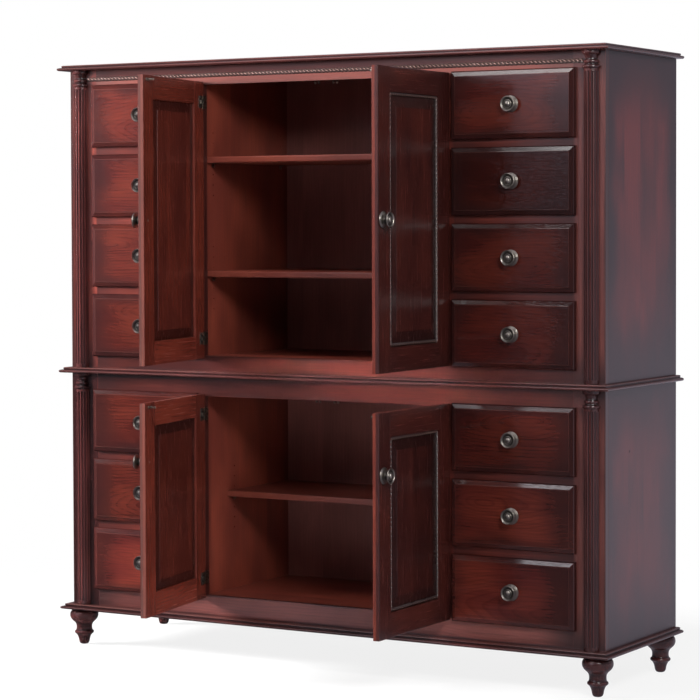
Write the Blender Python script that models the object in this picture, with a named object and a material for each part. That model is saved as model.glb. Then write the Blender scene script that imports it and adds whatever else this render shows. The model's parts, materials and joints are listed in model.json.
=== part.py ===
"""Tall two-piece dresser: in each case a two-door cupboard stands between two banks of drawers.

Metres, +Z up, front towards -Y. The origin lies on the floor, under the middle of the object
with its doors open.
"""
import math

import bmesh
import bpy

for old in list(bpy.data.objects):
    bpy.data.objects.remove(old, do_unlink=True)

SMOOTH_ANGLE = math.radians(40)   # turned pieces are shaded smooth below this

# Clearances
FIT_GAP = 0.0003          # between pieces that are glued or rest on each other
RUNNING_GAP = 0.0005      # drawer on its runner, drawer front on the frame
DRAWER_SIDE_GAP = 0.003   # drawer box in its frame opening
DRAWER_TOP_GAP = 0.012
DRAWER_BACK_ROOM = 0.050
SHELF_SIDE_GAP = 0.0008

# Turned feet
FOOT_HEIGHT = 0.114
FOOT_RADIUS = 0.0447
FOOT_SIDE_INSET = 0.030
FOOT_FRONT_INSET = 0.014
FOOT_BACK_INSET = 0.045
FOOT_SIDES = 16
# height and radius as shares of the foot's own height and radius, toe to top
FOOT_PROFILE = (
    (0.00, 0.25), (0.03, 0.33), (0.11, 0.40), (0.21, 0.50), (0.29, 0.60), (0.315, 0.66),
    (0.35, 0.68), (0.39, 0.66), (0.415, 0.59), (0.50, 0.56), (0.58, 0.62), (0.66, 0.79),
    (0.74, 0.94), (0.82, 1.00), (0.91, 0.95), (0.965, 0.83), (1.00, 0.74),
)

# Moulded boards at the base, waist and top
BOARD_THICKNESS = 0.017
LIP_SIDE_OVERHANG = 0.025
LIP_PAST_CAPITAL = 0.012
STEP_SETBACK = 0.012
# height as a share of the thickness, setback from the lip as a share of STEP_SETBACK
BOARD_PROFILE = (
    (0.00, 0.35), (0.14, 0.08), (0.32, 0.00), (0.47, 0.12), (0.58, 0.50), (0.64, 0.92),
    (0.72, 1.00), (0.92, 1.00), (1.00, 1.10),
)

# Cases and face frames
CASE_DEPTH = 0.500
PANEL_THICKNESS = 0.018
BACK_THICKNESS = 0.006
FRAME_THICKNESS = 0.020
UPPER_TOP_MARGIN = 0.046
UPPER_BOTTOM_MARGIN = 0.0365
LOWER_TOP_MARGIN = 0.0495
LOWER_BOTTOM_MARGIN = 0.051
STILE_LIP = 0.007         # the stile reaches past the partition into the cupboard opening
RUNNER_RISE = 0.006
RUNNER_HEIGHT = 0.018
RUNNER_REACH = 0.018

# Fluted half columns with turned capitals, planted on the corner stiles
COLUMN_RADIUS = 0.0225
COLUMN_OUTER_STRIP = 0.0195
COLUMN_INNER_STRIP = 0.0245
COLUMN_SINK = 0.004
FLUTES = 7
FLUTE_DEPTH = 0.0024
FLUTE_STEPS = 3
CAPITAL_HEIGHT = 0.052
CAPITAL_RADIUS = 0.027
# height and radius as shares of the capital's own height and radius, flutes to top
CAPITAL_PROFILE = (
    (0.00, 0.80), (0.05, 0.90), (0.14, 0.90), (0.20, 0.78), (0.35, 0.93), (0.47, 0.97),
    (0.59, 0.92), (0.70, 0.76), (0.82, 1.00), (1.00, 1.00),
)
ROPE_RADIUS = 0.007
ROPE_DROP = 0.028         # centre of the rope moulding below the top of the upper case
ROPE_SIDES = 6

# Drawers
UPPER_ROWS = 4
LOWER_ROWS = 3
DRAWER_WIDTH = 0.392
DRAWER_HEIGHT = 0.196
DRAWER_SPACING = 0.022
FRONT_THICKNESS = 0.019
FRONT_RIM = 0.010
FRONT_BEVEL = 0.014
FRONT_STEP = 0.0016
OVERLAY = 0.010           # drawer fronts and doors lap over the frame by this much
BOX_WALL = 0.012
BOX_BOTTOM = 0.009

# Doors
DOOR_WIDTH = 0.4295
DOOR_THICKNESS = 0.019
DOOR_MEETING_GAP = 0.003
DOOR_TO_DRAWER = 0.012
DOOR_TRIM = 0.0025        # a door is this much shorter than the drawer bank at each end
DOOR_STILE = 0.070
DOOR_CHAMFER = 0.004
PANEL_BEVEL = 0.029
BEAD_WIDTH = 0.011
# outer face: depths behind it, from the panel's field out to the stile
FIELD_DEPTH = 0.002
FIELD_EASE = 0.001        # the step round the field leans by this much
FIELD_STEP_DEPTH = 0.0032
PANEL_FOOT_DEPTH = 0.0065
BEAD_CROWN_DEPTH = 0.0010
BEAD_SHOULDER_DEPTH = 0.0027
BEAD_FOOT_DEPTH = 0.0050
BEAD_SHOULDER = 0.1       # share of the bead's width, from either edge
# inner face: depths below it
STICKING_WIDTH = 0.004
INNER_FOOT_DEPTH = 0.0065
INNER_STEP_DEPTH = 0.003
INNER_FIELD_DEPTH = 0.002
DOOR_STANDOFF = 0.0022    # behind a closed door
LEFT_DOOR_ANGLE = math.radians(80)
RIGHT_DOOR_ANGLE = math.radians(91)

# Hinges: a bracket wraps the stile and carries a barrel inside a notch of the door
HINGE_FROM_EDGE = 0.006
HINGE_FROM_FACE = 0.010
HINGE_INSET = 0.062       # middle of the hinge from the door's end
HINGE_HEIGHT = 0.040
BARREL_RADIUS = 0.003
BARREL_STEPS = 10
LUG_HALF = 0.002
BRACKET_GAUGE = 0.0015
BRACKET_LEAF = 0.018
NOTCH_GAP = 0.001
NOTCH_SKIN = 0.0045

# Knobs
KNOB_RADIUS = 0.024
KNOB_DEPTH = 0.028
KNOB_SIDES = 12
KNOB_FROM_EDGE = 0.028
LOWER_KNOB_DROP = 0.173   # below the top of a lower door
# distance from the face and radius as shares of the knob's own depth and radius
KNOB_PROFILE = (
    (0.00, 0.46), (0.42, 0.34), (0.60, 0.80), (0.74, 1.00), (0.88, 0.92), (0.80, 0.66),
    (0.90, 0.54), (0.88, 0.42), (1.00, 0.26),
)

# Shelves on pins
SHELF_THICKNESS = 0.019
SHELF_NOSE = 0.003
HIGH_SHELF_DROP = 0.220   # top of the high shelf below the upper opening's top
LOW_SHELF_RISE = 0.260    # top of the low shelf above the upper floor
LOWER_SHELF_RISE = 0.309
UPPER_SHELF_SETBACK = 0.004
LOWER_SHELF_SETBACK = 0.115
PIN_RADIUS = 0.003
PIN_REACH = 0.010
PIN_SINK = 0.006
PIN_SIDES = 8
PIN_INSET = 0.040

# Widths worked out from the middle of the object
CORNER_STILE = COLUMN_OUTER_STRIP + 2 * COLUMN_RADIUS + COLUMN_INNER_STRIP
DOOR_OUTER = DOOR_MEETING_GAP / 2 + DOOR_WIDTH
DRAWER_INNER = DOOR_OUTER + DOOR_TO_DRAWER
DRAWER_OUTER = DRAWER_INNER + DRAWER_WIDTH
HALF_WIDTH = DRAWER_OUTER + CORNER_STILE
CUPBOARD_HALF = DOOR_OUTER - OVERLAY
BAY_INNER = DRAWER_INNER + OVERLAY
BAY_OUTER = DRAWER_OUTER - OVERLAY
PARTITION_INNER = CUPBOARD_HALF + STILE_LIP
PARTITION_OUTER = PARTITION_INNER + PANEL_THICKNESS
COLUMN_X = HALF_WIDTH - COLUMN_OUTER_STRIP - COLUMN_RADIUS
DRAWER_PITCH = DRAWER_HEIGHT + DRAWER_SPACING

# Depths
CASE_FRONT = FRAME_THICKNESS + FIT_GAP
CASE_BACK = CASE_DEPTH - BACK_THICKNESS - FIT_GAP
LIP_FRONT = CAPITAL_RADIUS + LIP_PAST_CAPITAL
BOX_DEPTH = CASE_BACK - DRAWER_BACK_ROOM

# Hinge axis, seen from the hinge-side edge and outer face of the door
AXIS_X = DOOR_OUTER - HINGE_FROM_EDGE
AXIS_TO_BACK = DOOR_THICKNESS - HINGE_FROM_FACE
AXIS_TO_FRAME = AXIS_TO_BACK + DOOR_STANDOFF
AXIS_TO_STILE = OVERLAY - HINGE_FROM_EDGE


class Tier:
    """Heights of one case, worked out from its drawers and the margins over and under them."""

    def __init__(self, name, rows, bottom, bottom_margin, top_margin):
        self.name = name
        self.rows = rows
        self.bottom = bottom
        self.bank_bottom = bottom + bottom_margin
        self.bank_top = self.bank_bottom + rows * DRAWER_PITCH - DRAWER_SPACING
        self.top = self.bank_top + top_margin
        self.floor = self.bank_bottom + OVERLAY
        self.ceiling = self.bank_top - OVERLAY
        self.door_bottom = self.bank_bottom + DOOR_TRIM
        self.door_height = self.bank_top - self.bank_bottom - 2 * DOOR_TRIM

    def drawer_bottom(self, row):
        """Lower edge of a drawer front, counted from the top of the bank."""
        return self.bank_top - DRAWER_HEIGHT - row * DRAWER_PITCH


BASE_BOTTOM = FOOT_HEIGHT
LOWER = Tier("lower", LOWER_ROWS, BASE_BOTTOM + BOARD_THICKNESS + FIT_GAP,
             LOWER_BOTTOM_MARGIN, LOWER_TOP_MARGIN)
WAIST_BOTTOM = LOWER.top + FIT_GAP
UPPER = Tier("upper", UPPER_ROWS, WAIST_BOTTOM + BOARD_THICKNESS + FIT_GAP,
             UPPER_BOTTOM_MARGIN, UPPER_TOP_MARGIN)
TOP_BOTTOM = UPPER.top + FIT_GAP

# Everything hangs on one empty, so that the finished object can be centred on its origin
DRESSER = bpy.data.objects.new("dresser", None)
bpy.context.collection.objects.link(DRESSER)


def finish(name, colour, roughness, metallic=0.0):
    """A material from one colour, roughness and metallic value."""
    material = bpy.data.materials.new(name)
    material.use_nodes = True
    shader = material.node_tree.nodes["Principled BSDF"]
    shader.inputs["Base Color"].default_value = (*colour, 1.0)
    shader.inputs["Roughness"].default_value = roughness
    shader.inputs["Metallic"].default_value = metallic
    return material


DARK_CHERRY = finish("dark_cherry", (0.075, 0.022, 0.018), 0.32)
RED_CHERRY = finish("red_cherry", (0.16, 0.035, 0.018), 0.30)
INSIDE_CHERRY = finish("inside_cherry", (0.11, 0.030, 0.018), 0.42)
PEWTER = finish("pewter", (0.30, 0.27, 0.23), 0.38, 1.0)
NICKEL = finish("nickel", (0.62, 0.60, 0.56), 0.30, 1.0)


def solid(name, bm, material, parent=DRESSER, location=(0, 0, 0), smooth=False):
    """Turn a closed bmesh into a named object."""
    bmesh.ops.recalc_face_normals(bm, faces=bm.faces)
    mesh = bpy.data.meshes.new(name)
    bm.to_mesh(mesh)
    bm.free()
    mesh.materials.append(material)
    if smooth:
        mesh.shade_smooth()
        mesh.set_sharp_from_angle(angle=SMOOTH_ANGLE)
    piece = bpy.data.objects.new(name, mesh)
    bpy.context.collection.objects.link(piece)
    piece.parent = parent
    piece.location = location
    return piece


def loft(bm, rings):
    """Close a skin over rings that have equal numbers of points, with a face at each end."""
    loops = [[bm.verts.new(point) for point in ring] for ring in rings]
    bm.faces.new(loops[0])
    bm.faces.new(loops[-1])
    for first, second in zip(loops, loops[1:]):
        for i in range(len(first)):
            bm.faces.new((first[i - 1], first[i], second[i], second[i - 1]))


def lofted(rings):
    """A new bmesh holding one loft."""
    bm = bmesh.new()
    loft(bm, rings)
    return bm


def upright_rectangle(x0, x1, z0, z1, y):
    """Corners of a rectangle that faces the front."""
    return [(x0, y, z0), (x1, y, z0), (x1, y, z1), (x0, y, z1)]


def level_rectangle(x0, x1, y0, y1, z):
    """Corners of a rectangle that lies flat."""
    return [(x0, y0, z), (x1, y0, z), (x1, y1, z), (x0, y1, z)]


def block(bm, x0, x1, y0, y1, z0, z1):
    """Add a plain box."""
    loft(bm, [level_rectangle(x0, x1, y0, y1, z) for z in (z0, z1)])


def circle(radius, sides):
    """Points of a circle as pairs."""
    turns = [2 * math.pi * i / sides for i in range(sides)]
    return [(radius * math.cos(a), radius * math.sin(a)) for a in turns]


def join_tool(piece, tool_bm, name, operation):
    """Join a hidden tool to a piece, or cut it away."""
    tool = solid(name, tool_bm, piece.data.materials[0], parent=piece.parent, location=piece.location)
    tool.rotation_euler = piece.rotation_euler
    tool.hide_render = True
    tool.display_type = "WIRE"
    modifier = piece.modifiers.new(name, "BOOLEAN")
    modifier.object = tool
    modifier.operation = operation
    modifier.solver = "EXACT"


def grid_solid(xs, zs, is_solid, front, back):
    """A plate of grid cells that face the front, filled where is_solid says, given a depth."""
    bm = bmesh.new()
    xs = sorted({round(x, 6) for x in xs})
    zs = sorted({round(z, 6) for z in zs})
    corners = {}

    def corner(i, j):
        if (i, j) not in corners:
            corners[i, j] = bm.verts.new((xs[i], front, zs[j]))
        return corners[i, j]

    for i in range(len(xs) - 1):
        for j in range(len(zs) - 1):
            if is_solid((xs[i] + xs[i + 1]) / 2, (zs[j] + zs[j + 1]) / 2):
                bm.faces.new((corner(i, j), corner(i + 1, j), corner(i + 1, j + 1), corner(i, j + 1)))
    grown = bmesh.ops.extrude_face_region(bm, geom=bm.faces[:])["geom"]
    moved = [item for item in grown if isinstance(item, bmesh.types.BMVert)]
    bmesh.ops.translate(bm, verts=moved, vec=(0, back - front, 0))
    return bm


def mirrored(values):
    """Each value and its opposite."""
    return [sign * value for value in values for sign in (-1, 1)]


def foot(name, x, y):
    """A turned foot under a corner of the base board."""
    height = FOOT_HEIGHT - FIT_GAP
    rings = [[(px, py, share * height) for px, py in circle(radius * FOOT_RADIUS, FOOT_SIDES)]
             for share, radius in FOOT_PROFILE]
    solid(name, lofted(rings), DARK_CHERRY, location=(x, y, 0), smooth=True)


def moulded_board(name, bottom):
    """A board with an ogee lip and a step on its front and sides, flat at the back."""
    rings = []
    for height, setback in BOARD_PROFILE:
        side = HALF_WIDTH + LIP_SIDE_OVERHANG - setback * STEP_SETBACK
        front = -LIP_FRONT + setback * STEP_SETBACK
        z = bottom + height * BOARD_THICKNESS
        rings.append(level_rectangle(-side, side, front, CASE_DEPTH, z))
    solid(name, lofted(rings), DARK_CHERRY)


def case(tier, shelf_tops):
    """Glued-up carcass: sides, partitions, floor, drawer runners and shelf pins, open in front."""
    sill = [tier.drawer_bottom(row) + OVERLAY for row in range(tier.rows)]
    runner_top = [z + RUNNER_RISE for z in sill]
    runner_foot = [z + RUNNER_RISE - RUNNER_HEIGHT for z in sill]
    side_inner = HALF_WIDTH - PANEL_THICKNESS
    outer_ledge = BAY_OUTER - RUNNER_REACH
    inner_ledge = BAY_INNER + RUNNER_REACH

    def is_solid(x, z):
        x = abs(x)
        if x > side_inner or PARTITION_INNER < x < PARTITION_OUTER:
            return True
        if tier.floor - PANEL_THICKNESS < z < tier.floor:
            return True
        on_runner = any(low < z < high for low, high in zip(runner_foot, runner_top))
        return on_runner and (x > outer_ledge or PARTITION_OUTER < x < inner_ledge)

    xs = mirrored((PARTITION_INNER, PARTITION_OUTER, inner_ledge, outer_ledge, side_inner, HALF_WIDTH))
    zs = [tier.bottom, tier.floor - PANEL_THICKNESS, tier.floor, tier.top, *runner_top, *runner_foot]
    bm = grid_solid(xs, zs, is_solid, CASE_FRONT, CASE_BACK)

    # the side panels run on past the back panel
    rebate = [face for face in bm.faces
              if face.calc_center_median().y > CASE_BACK - FIT_GAP
              and abs(face.calc_center_median().x) > side_inner]
    grown = bmesh.ops.extrude_face_region(bm, geom=rebate)["geom"]
    moved = [item for item in grown if isinstance(item, bmesh.types.BMVert)]
    bmesh.ops.translate(bm, verts=moved, vec=(0, CASE_DEPTH - CASE_BACK, 0))
    bmesh.ops.delete(bm, geom=[face for face in rebate if face.is_valid], context="FACES")
    carcass = solid(f"{tier.name}_case", bm, INSIDE_CHERRY)

    pins = bmesh.new()
    for shelf_top, setback in shelf_tops:
        z = shelf_top - SHELF_THICKNESS - FIT_GAP - PIN_RADIUS
        for y in (CASE_FRONT + setback + PIN_INSET, CASE_BACK - PIN_INSET):
            for side in (-1, 1):
                ends = (side * (PARTITION_INNER + PIN_SINK), side * (PARTITION_INNER - PIN_REACH))
                outline = circle(PIN_RADIUS, PIN_SIDES)
                loft(pins, [[(x, y + py, z + pz) for py, pz in outline] for x in ends])
    join_tool(carcass, pins, f"{tier.name}_pins", "UNION")


def back_panel(tier):
    """Thin panel let in between the side panels."""
    half = HALF_WIDTH - PANEL_THICKNESS - FIT_GAP
    bm = bmesh.new()
    block(bm, -half, half, CASE_DEPTH - BACK_THICKNESS, CASE_DEPTH, tier.bottom, tier.top)
    solid(f"{tier.name}_back", bm, INSIDE_CHERRY)


def column_ring(radius, flute_depth, z):
    """D-shaped outline of a half column, with flutes across its front and a back inside the stile."""
    steps = FLUTES * FLUTE_STEPS
    ring = [(radius, COLUMN_SINK, z), (-radius, COLUMN_SINK, z)]
    for i in range(1, steps):
        angle = math.pi + math.pi * i / steps
        # a fillet at each end of a flute, a hollow between
        hollow = math.sin(math.pi * (i % FLUTE_STEPS) / FLUTE_STEPS)
        r = radius - flute_depth * hollow
        ring.append((r * math.cos(angle), r * math.sin(angle), z))
    return ring


def column(tier):
    """A fluted half column with its turned capital, about its own axis."""
    capital_foot = tier.top - FIT_GAP - CAPITAL_HEIGHT
    rings = [column_ring(COLUMN_RADIUS, FLUTE_DEPTH, z) for z in (tier.bottom + FIT_GAP, capital_foot)]
    for height, radius in CAPITAL_PROFILE:
        rings.append(column_ring(radius * CAPITAL_RADIUS, 0.0, capital_foot + FIT_GAP
                                 + height * (CAPITAL_HEIGHT - FIT_GAP)))
    return lofted(rings)


def rope_moulding():
    """Half-round moulding under the top board, from capital to capital."""
    reach = COLUMN_X - CAPITAL_RADIUS - FIT_GAP
    z = UPPER.top - ROPE_DROP
    section = [(COLUMN_SINK, ROPE_RADIUS), (COLUMN_SINK, -ROPE_RADIUS)]
    for i in range(1, ROPE_SIDES):
        angle = math.pi * i / ROPE_SIDES
        section.append((-ROPE_RADIUS * math.sin(angle), -ROPE_RADIUS * math.cos(angle)))
    return lofted([[(x, y, z + dz) for y, dz in section] for x in (-reach, reach)])


def face_frame(tier):
    """Stiles and rails round the drawers and the cupboard, with the corner columns on them."""
    rows = [tier.drawer_bottom(row) + OVERLAY for row in range(tier.rows)]
    opening_height = DRAWER_HEIGHT - 2 * OVERLAY

    def is_solid(x, z):
        x = abs(x)
        if x < CUPBOARD_HALF:
            return not tier.floor < z < tier.ceiling
        in_row = any(low < z < low + opening_height for low in rows)
        return not (in_row and BAY_INNER < x < BAY_OUTER)

    xs = mirrored((CUPBOARD_HALF, BAY_INNER, BAY_OUTER, HALF_WIDTH))
    zs = [tier.bottom, tier.floor, tier.ceiling, tier.top, *rows, *(z + opening_height for z in rows)]
    frame = solid(f"{tier.name}_frame", grid_solid(xs, zs, is_solid, 0, FRAME_THICKNESS), DARK_CHERRY)
    for side, word in ((-1, "left"), (1, "right")):
        tool = column(tier)
        bmesh.ops.translate(tool, verts=tool.verts, vec=(side * COLUMN_X, 0, 0))
        join_tool(frame, tool, f"{tier.name}_column_{word}", "UNION")
    if tier is UPPER:
        join_tool(frame, rope_moulding(), "upper_rope", "UNION")


def shelf(name, top, setback):
    """A loose shelf with an eased front edge, on pins between the partitions."""
    half = PARTITION_INNER - SHELF_SIDE_GAP
    front = CASE_FRONT + setback
    back = CASE_BACK - SHELF_SIDE_GAP
    under = top - SHELF_THICKNESS
    section = [(back, under), (front + SHELF_NOSE, under), (front, under + SHELF_NOSE),
               (front, top - SHELF_NOSE), (front + SHELF_NOSE, top), (back, top)]
    solid(name, lofted([[(x, y, z) for y, z in section] for x in (-half, half)]), RED_CHERRY)


def knob(name, parent, location):
    """A dished round knob that stands out of a front."""
    rings = []
    for share, radius in KNOB_PROFILE:
        y = -FIT_GAP - share * KNOB_DEPTH
        rings.append([(px, y, pz) for px, pz in circle(radius * KNOB_RADIUS, KNOB_SIDES)])
    solid(name, lofted(rings), PEWTER, parent=parent, location=location, smooth=True)


def drawer(tier, row, side, word):
    """A drawer with a raised, bevelled overlay front and an open box, with its knob."""
    bottom = tier.drawer_bottom(row)
    half = DRAWER_WIDTH / 2
    box_half = half - OVERLAY - DRAWER_SIDE_GAP
    box_bottom = OVERLAY + RUNNER_RISE + RUNNING_GAP
    box_top = DRAWER_HEIGHT - OVERLAY - DRAWER_TOP_GAP

    def front_ring(inset, y):
        return upright_rectangle(-half + inset, half - inset, inset, DRAWER_HEIGHT - inset, y)

    rings = [
        front_ring(FRONT_BEVEL, -FRONT_THICKNESS),
        front_ring(FRONT_BEVEL, -FRONT_THICKNESS + FRONT_STEP),
        front_ring(0, -FRONT_RIM),
        front_ring(0, 0),
        upright_rectangle(-box_half, box_half, box_bottom, box_top, 0),
        upright_rectangle(-box_half, box_half, box_bottom, box_top, BOX_DEPTH),
    ]
    bm = lofted(rings)
    bm.normal_update()

    def is_lid(face):
        middle = face.calc_center_median()
        return middle.y > BOX_WALL and middle.z > box_top - BOX_WALL

    lid = next(face for face in bm.faces if is_lid(face))
    bmesh.ops.inset_region(bm, faces=[lid], thickness=BOX_WALL)
    well = bmesh.ops.extrude_discrete_faces(bm, faces=[lid])["faces"][0]
    bmesh.ops.translate(bm, verts=well.verts, vec=(0, 0, box_bottom + BOX_BOTTOM - box_top))

    label = f"{tier.name}_{word}_{row + 1}"
    middle = side * (DRAWER_INNER + half)
    piece = solid(f"drawer_{label}", bm, RED_CHERRY, location=(middle, -RUNNING_GAP, bottom))
    knob(f"knob_{label}", piece, (0, -FRONT_THICKNESS, DRAWER_HEIGHT / 2))


def hinge_outline():
    """Bracket seen from above, about the hinge axis: barrel, lug, plate, leaf on the stile's edge."""
    shoulder = math.asin(LUG_HALF / BARREL_RADIUS)
    plate_front = AXIS_TO_FRAME - FIT_GAP - BRACKET_GAUGE
    plate_back = AXIS_TO_FRAME - FIT_GAP
    leaf_near = AXIS_TO_STILE + FIT_GAP
    outline = []
    for i in range(BARREL_STEPS + 1):
        angle = math.pi / 2 - shoulder - (2 * math.pi - 2 * shoulder) * i / BARREL_STEPS
        outline.append((BARREL_RADIUS * math.cos(angle), BARREL_RADIUS * math.sin(angle)))
    outline += [
        (-LUG_HALF, plate_back),
        (leaf_near, plate_back),
        (leaf_near, plate_back + BRACKET_LEAF),
        (leaf_near + BRACKET_GAUGE, plate_back + BRACKET_LEAF),
        (leaf_near + BRACKET_GAUGE, plate_front),
        (LUG_HALF, plate_front),
    ]
    return outline


def hinge(name, side, z):
    """A hinge bracket for the door at one side; the outline is drawn for the left."""
    ends = (z - HINGE_HEIGHT / 2, z + HINGE_HEIGHT / 2)
    rings = [[(-side * x, y, end) for x, y in hinge_outline()] for end in ends]
    solid(name, lofted(rings), NICKEL, location=(side * AXIS_X, -AXIS_TO_FRAME, 0))


def door(tier, side, word, angle, knob_height):
    """A framed door with a raised panel, hung on its hinge axis, with its hinges and knob."""
    bead = DOOR_STILE + BEAD_WIDTH
    outer_edge = -HINGE_FROM_EDGE
    free_edge = DOOR_WIDTH - HINGE_FROM_EDGE

    def ring(inset, depth):
        """Rectangle on the door, inset from its edges, at a depth behind its outer face."""
        x0 = outer_edge + inset
        x1 = free_edge - inset
        y = depth - HINGE_FROM_FACE
        return upright_rectangle(-side * x0, -side * x1, inset, tier.door_height - inset, y)

    field = bead + PANEL_BEVEL
    inner_field = DOOR_STILE + PANEL_BEVEL
    shoulder = BEAD_SHOULDER * BEAD_WIDTH
    rings = [
        ring(field + FIELD_EASE, FIELD_DEPTH),
        ring(field, FIELD_STEP_DEPTH),
        ring(bead, PANEL_FOOT_DEPTH),
        ring(bead - shoulder, BEAD_SHOULDER_DEPTH),
        ring(bead - BEAD_WIDTH / 2, BEAD_CROWN_DEPTH),
        ring(DOOR_STILE + shoulder, BEAD_SHOULDER_DEPTH),
        ring(DOOR_STILE, BEAD_FOOT_DEPTH),
        ring(DOOR_STILE, 0),
        ring(DOOR_CHAMFER, 0),
        ring(0, DOOR_CHAMFER),
        ring(0, DOOR_THICKNESS),
        ring(DOOR_STILE, DOOR_THICKNESS),
        ring(DOOR_STILE + STICKING_WIDTH, DOOR_THICKNESS - INNER_FOOT_DEPTH),
        ring(inner_field, DOOR_THICKNESS - INNER_STEP_DEPTH),
        ring(inner_field + FIELD_EASE, DOOR_THICKNESS - INNER_FIELD_DEPTH),
    ]
    location = (side * AXIS_X, -AXIS_TO_FRAME, tier.door_bottom)
    label = f"{tier.name}_{word}"
    piece = solid(f"door_{label}", lofted(rings), RED_CHERRY, location=location)
    piece.rotation_euler = (0, 0, side * angle)

    notches = bmesh.new()
    inner = -side * (BARREL_RADIUS + FIT_GAP)
    outer = side * (HINGE_FROM_EDGE + NOTCH_GAP)
    half = HINGE_HEIGHT / 2 + NOTCH_GAP
    for end, z in (("bottom", HINGE_INSET), ("top", tier.door_height - HINGE_INSET)):
        block(notches, min(inner, outer), max(inner, outer), NOTCH_SKIN - HINGE_FROM_FACE,
              AXIS_TO_BACK + NOTCH_GAP, z - half, z + half)
        hinge(f"hinge_{label}_{end}", side, tier.door_bottom + z)
    join_tool(piece, notches, f"notches_{label}", "DIFFERENCE")
    knob(f"knob_door_{label}", piece, (-side * (free_edge - KNOB_FROM_EDGE), -HINGE_FROM_FACE, knob_height))


SIDES = ((-1, "left"), (1, "right"))
DOOR_ANGLES = {"left": LEFT_DOOR_ANGLE, "right": RIGHT_DOOR_ANGLE}
UPPER_SHELVES = (("shelf_upper_high", UPPER.ceiling - HIGH_SHELF_DROP),
                 ("shelf_upper_low", UPPER.floor + LOW_SHELF_RISE))
LOWER_SHELVES = (("shelf_lower", LOWER.floor + LOWER_SHELF_RISE),)

for side, word in SIDES:
    foot(f"foot_front_{word}", side * (HALF_WIDTH - FOOT_SIDE_INSET), FOOT_FRONT_INSET)
    foot(f"foot_back_{word}", side * (HALF_WIDTH - FOOT_SIDE_INSET), CASE_DEPTH - FOOT_BACK_INSET)

for name, bottom in (("base_board", BASE_BOTTOM), ("waist_board", WAIST_BOTTOM), ("top_board", TOP_BOTTOM)):
    moulded_board(name, bottom)

for tier, shelves, setback in ((LOWER, LOWER_SHELVES, LOWER_SHELF_SETBACK),
                               (UPPER, UPPER_SHELVES, UPPER_SHELF_SETBACK)):
    case(tier, [(top, setback) for _, top in shelves])
    back_panel(tier)
    face_frame(tier)
    for name, top in shelves:
        shelf(name, top, setback)
    knob_height = tier.door_height / 2 if tier is UPPER else tier.door_height - LOWER_KNOB_DROP
    for side, word in SIDES:
        for row in range(tier.rows):
            drawer(tier, row, side, word)
        door(tier, side, word, DOOR_ANGLES[word], knob_height)

# Centre the object front to back, doors included, over its origin
bpy.context.view_layer.update()
pieces = [piece for piece in bpy.data.objects if piece.type == "MESH" and not piece.hide_render]
reach = [(piece.matrix_world @ vertex.co).y for piece in pieces for vertex in piece.data.vertices]
DRESSER.location.y = -(min(reach) + max(reach)) / 2
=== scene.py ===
# %% [markdown]
# # A dark cherry dresser
# The real piece is a tall two-part dresser in burnished cherry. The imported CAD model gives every
# size and joint, so it is loaded first and never moved. Each cell below then models one kind of
# piece over it, with more detail than the CAD has, and gives it a finish.

# %% Load the frame
import json
import math

import bmesh
import bpy
import numpy as np
from mathutils import Matrix, Vector


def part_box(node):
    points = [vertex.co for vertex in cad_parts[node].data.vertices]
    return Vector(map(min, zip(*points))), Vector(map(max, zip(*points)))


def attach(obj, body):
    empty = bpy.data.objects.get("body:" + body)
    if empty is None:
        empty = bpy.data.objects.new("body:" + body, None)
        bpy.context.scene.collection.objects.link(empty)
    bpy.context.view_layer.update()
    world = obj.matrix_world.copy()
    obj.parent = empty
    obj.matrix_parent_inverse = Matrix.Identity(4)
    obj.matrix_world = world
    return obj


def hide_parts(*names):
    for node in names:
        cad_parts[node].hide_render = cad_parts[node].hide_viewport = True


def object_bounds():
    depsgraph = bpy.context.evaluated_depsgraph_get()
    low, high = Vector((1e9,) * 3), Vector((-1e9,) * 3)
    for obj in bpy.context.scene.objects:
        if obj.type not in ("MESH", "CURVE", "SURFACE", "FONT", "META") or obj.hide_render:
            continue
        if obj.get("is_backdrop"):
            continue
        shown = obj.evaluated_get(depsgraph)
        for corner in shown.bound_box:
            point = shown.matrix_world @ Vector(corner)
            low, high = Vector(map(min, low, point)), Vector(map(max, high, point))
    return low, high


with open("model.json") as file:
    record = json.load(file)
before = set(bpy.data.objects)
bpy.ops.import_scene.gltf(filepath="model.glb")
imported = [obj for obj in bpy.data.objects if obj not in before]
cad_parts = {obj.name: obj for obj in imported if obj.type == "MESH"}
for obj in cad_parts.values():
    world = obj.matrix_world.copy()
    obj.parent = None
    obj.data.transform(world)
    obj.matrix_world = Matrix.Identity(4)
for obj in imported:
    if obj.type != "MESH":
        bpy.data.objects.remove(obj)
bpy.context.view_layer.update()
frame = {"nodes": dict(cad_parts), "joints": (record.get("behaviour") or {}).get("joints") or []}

# %% [markdown]
# ## The camera
# The photograph is a long-lens view from the front right, a little above the waist board. A camera
# could be aimed with a Track To constraint, but writing its three axes keeps the small roll and the
# off-centre framing exact. The frame is square, 700 pixels wide.

# %% Place the camera
IMAGE_WIDTH = 700
SENSOR_WIDTH = 36        # millimetres
FOCAL_PIXELS = 2473.0
HORIZON_RISE = 49.16     # the lens axis meets the picture this many pixels above its middle
CAMERA_PLACE = Vector((3.8048, -6.3307, 1.3400))
YAW = math.radians(30.483)
PITCH = math.radians(1.851)
ROLL = math.radians(-0.178)

forward = Vector((-math.sin(YAW) * math.cos(PITCH), math.cos(YAW) * math.cos(PITCH), -math.sin(PITCH)))
level = Vector((math.cos(YAW), math.sin(YAW), 0))
upward = level.cross(forward)
camera_right = math.cos(ROLL) * level + math.sin(ROLL) * upward
camera_top = math.cos(ROLL) * upward - math.sin(ROLL) * level

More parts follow.
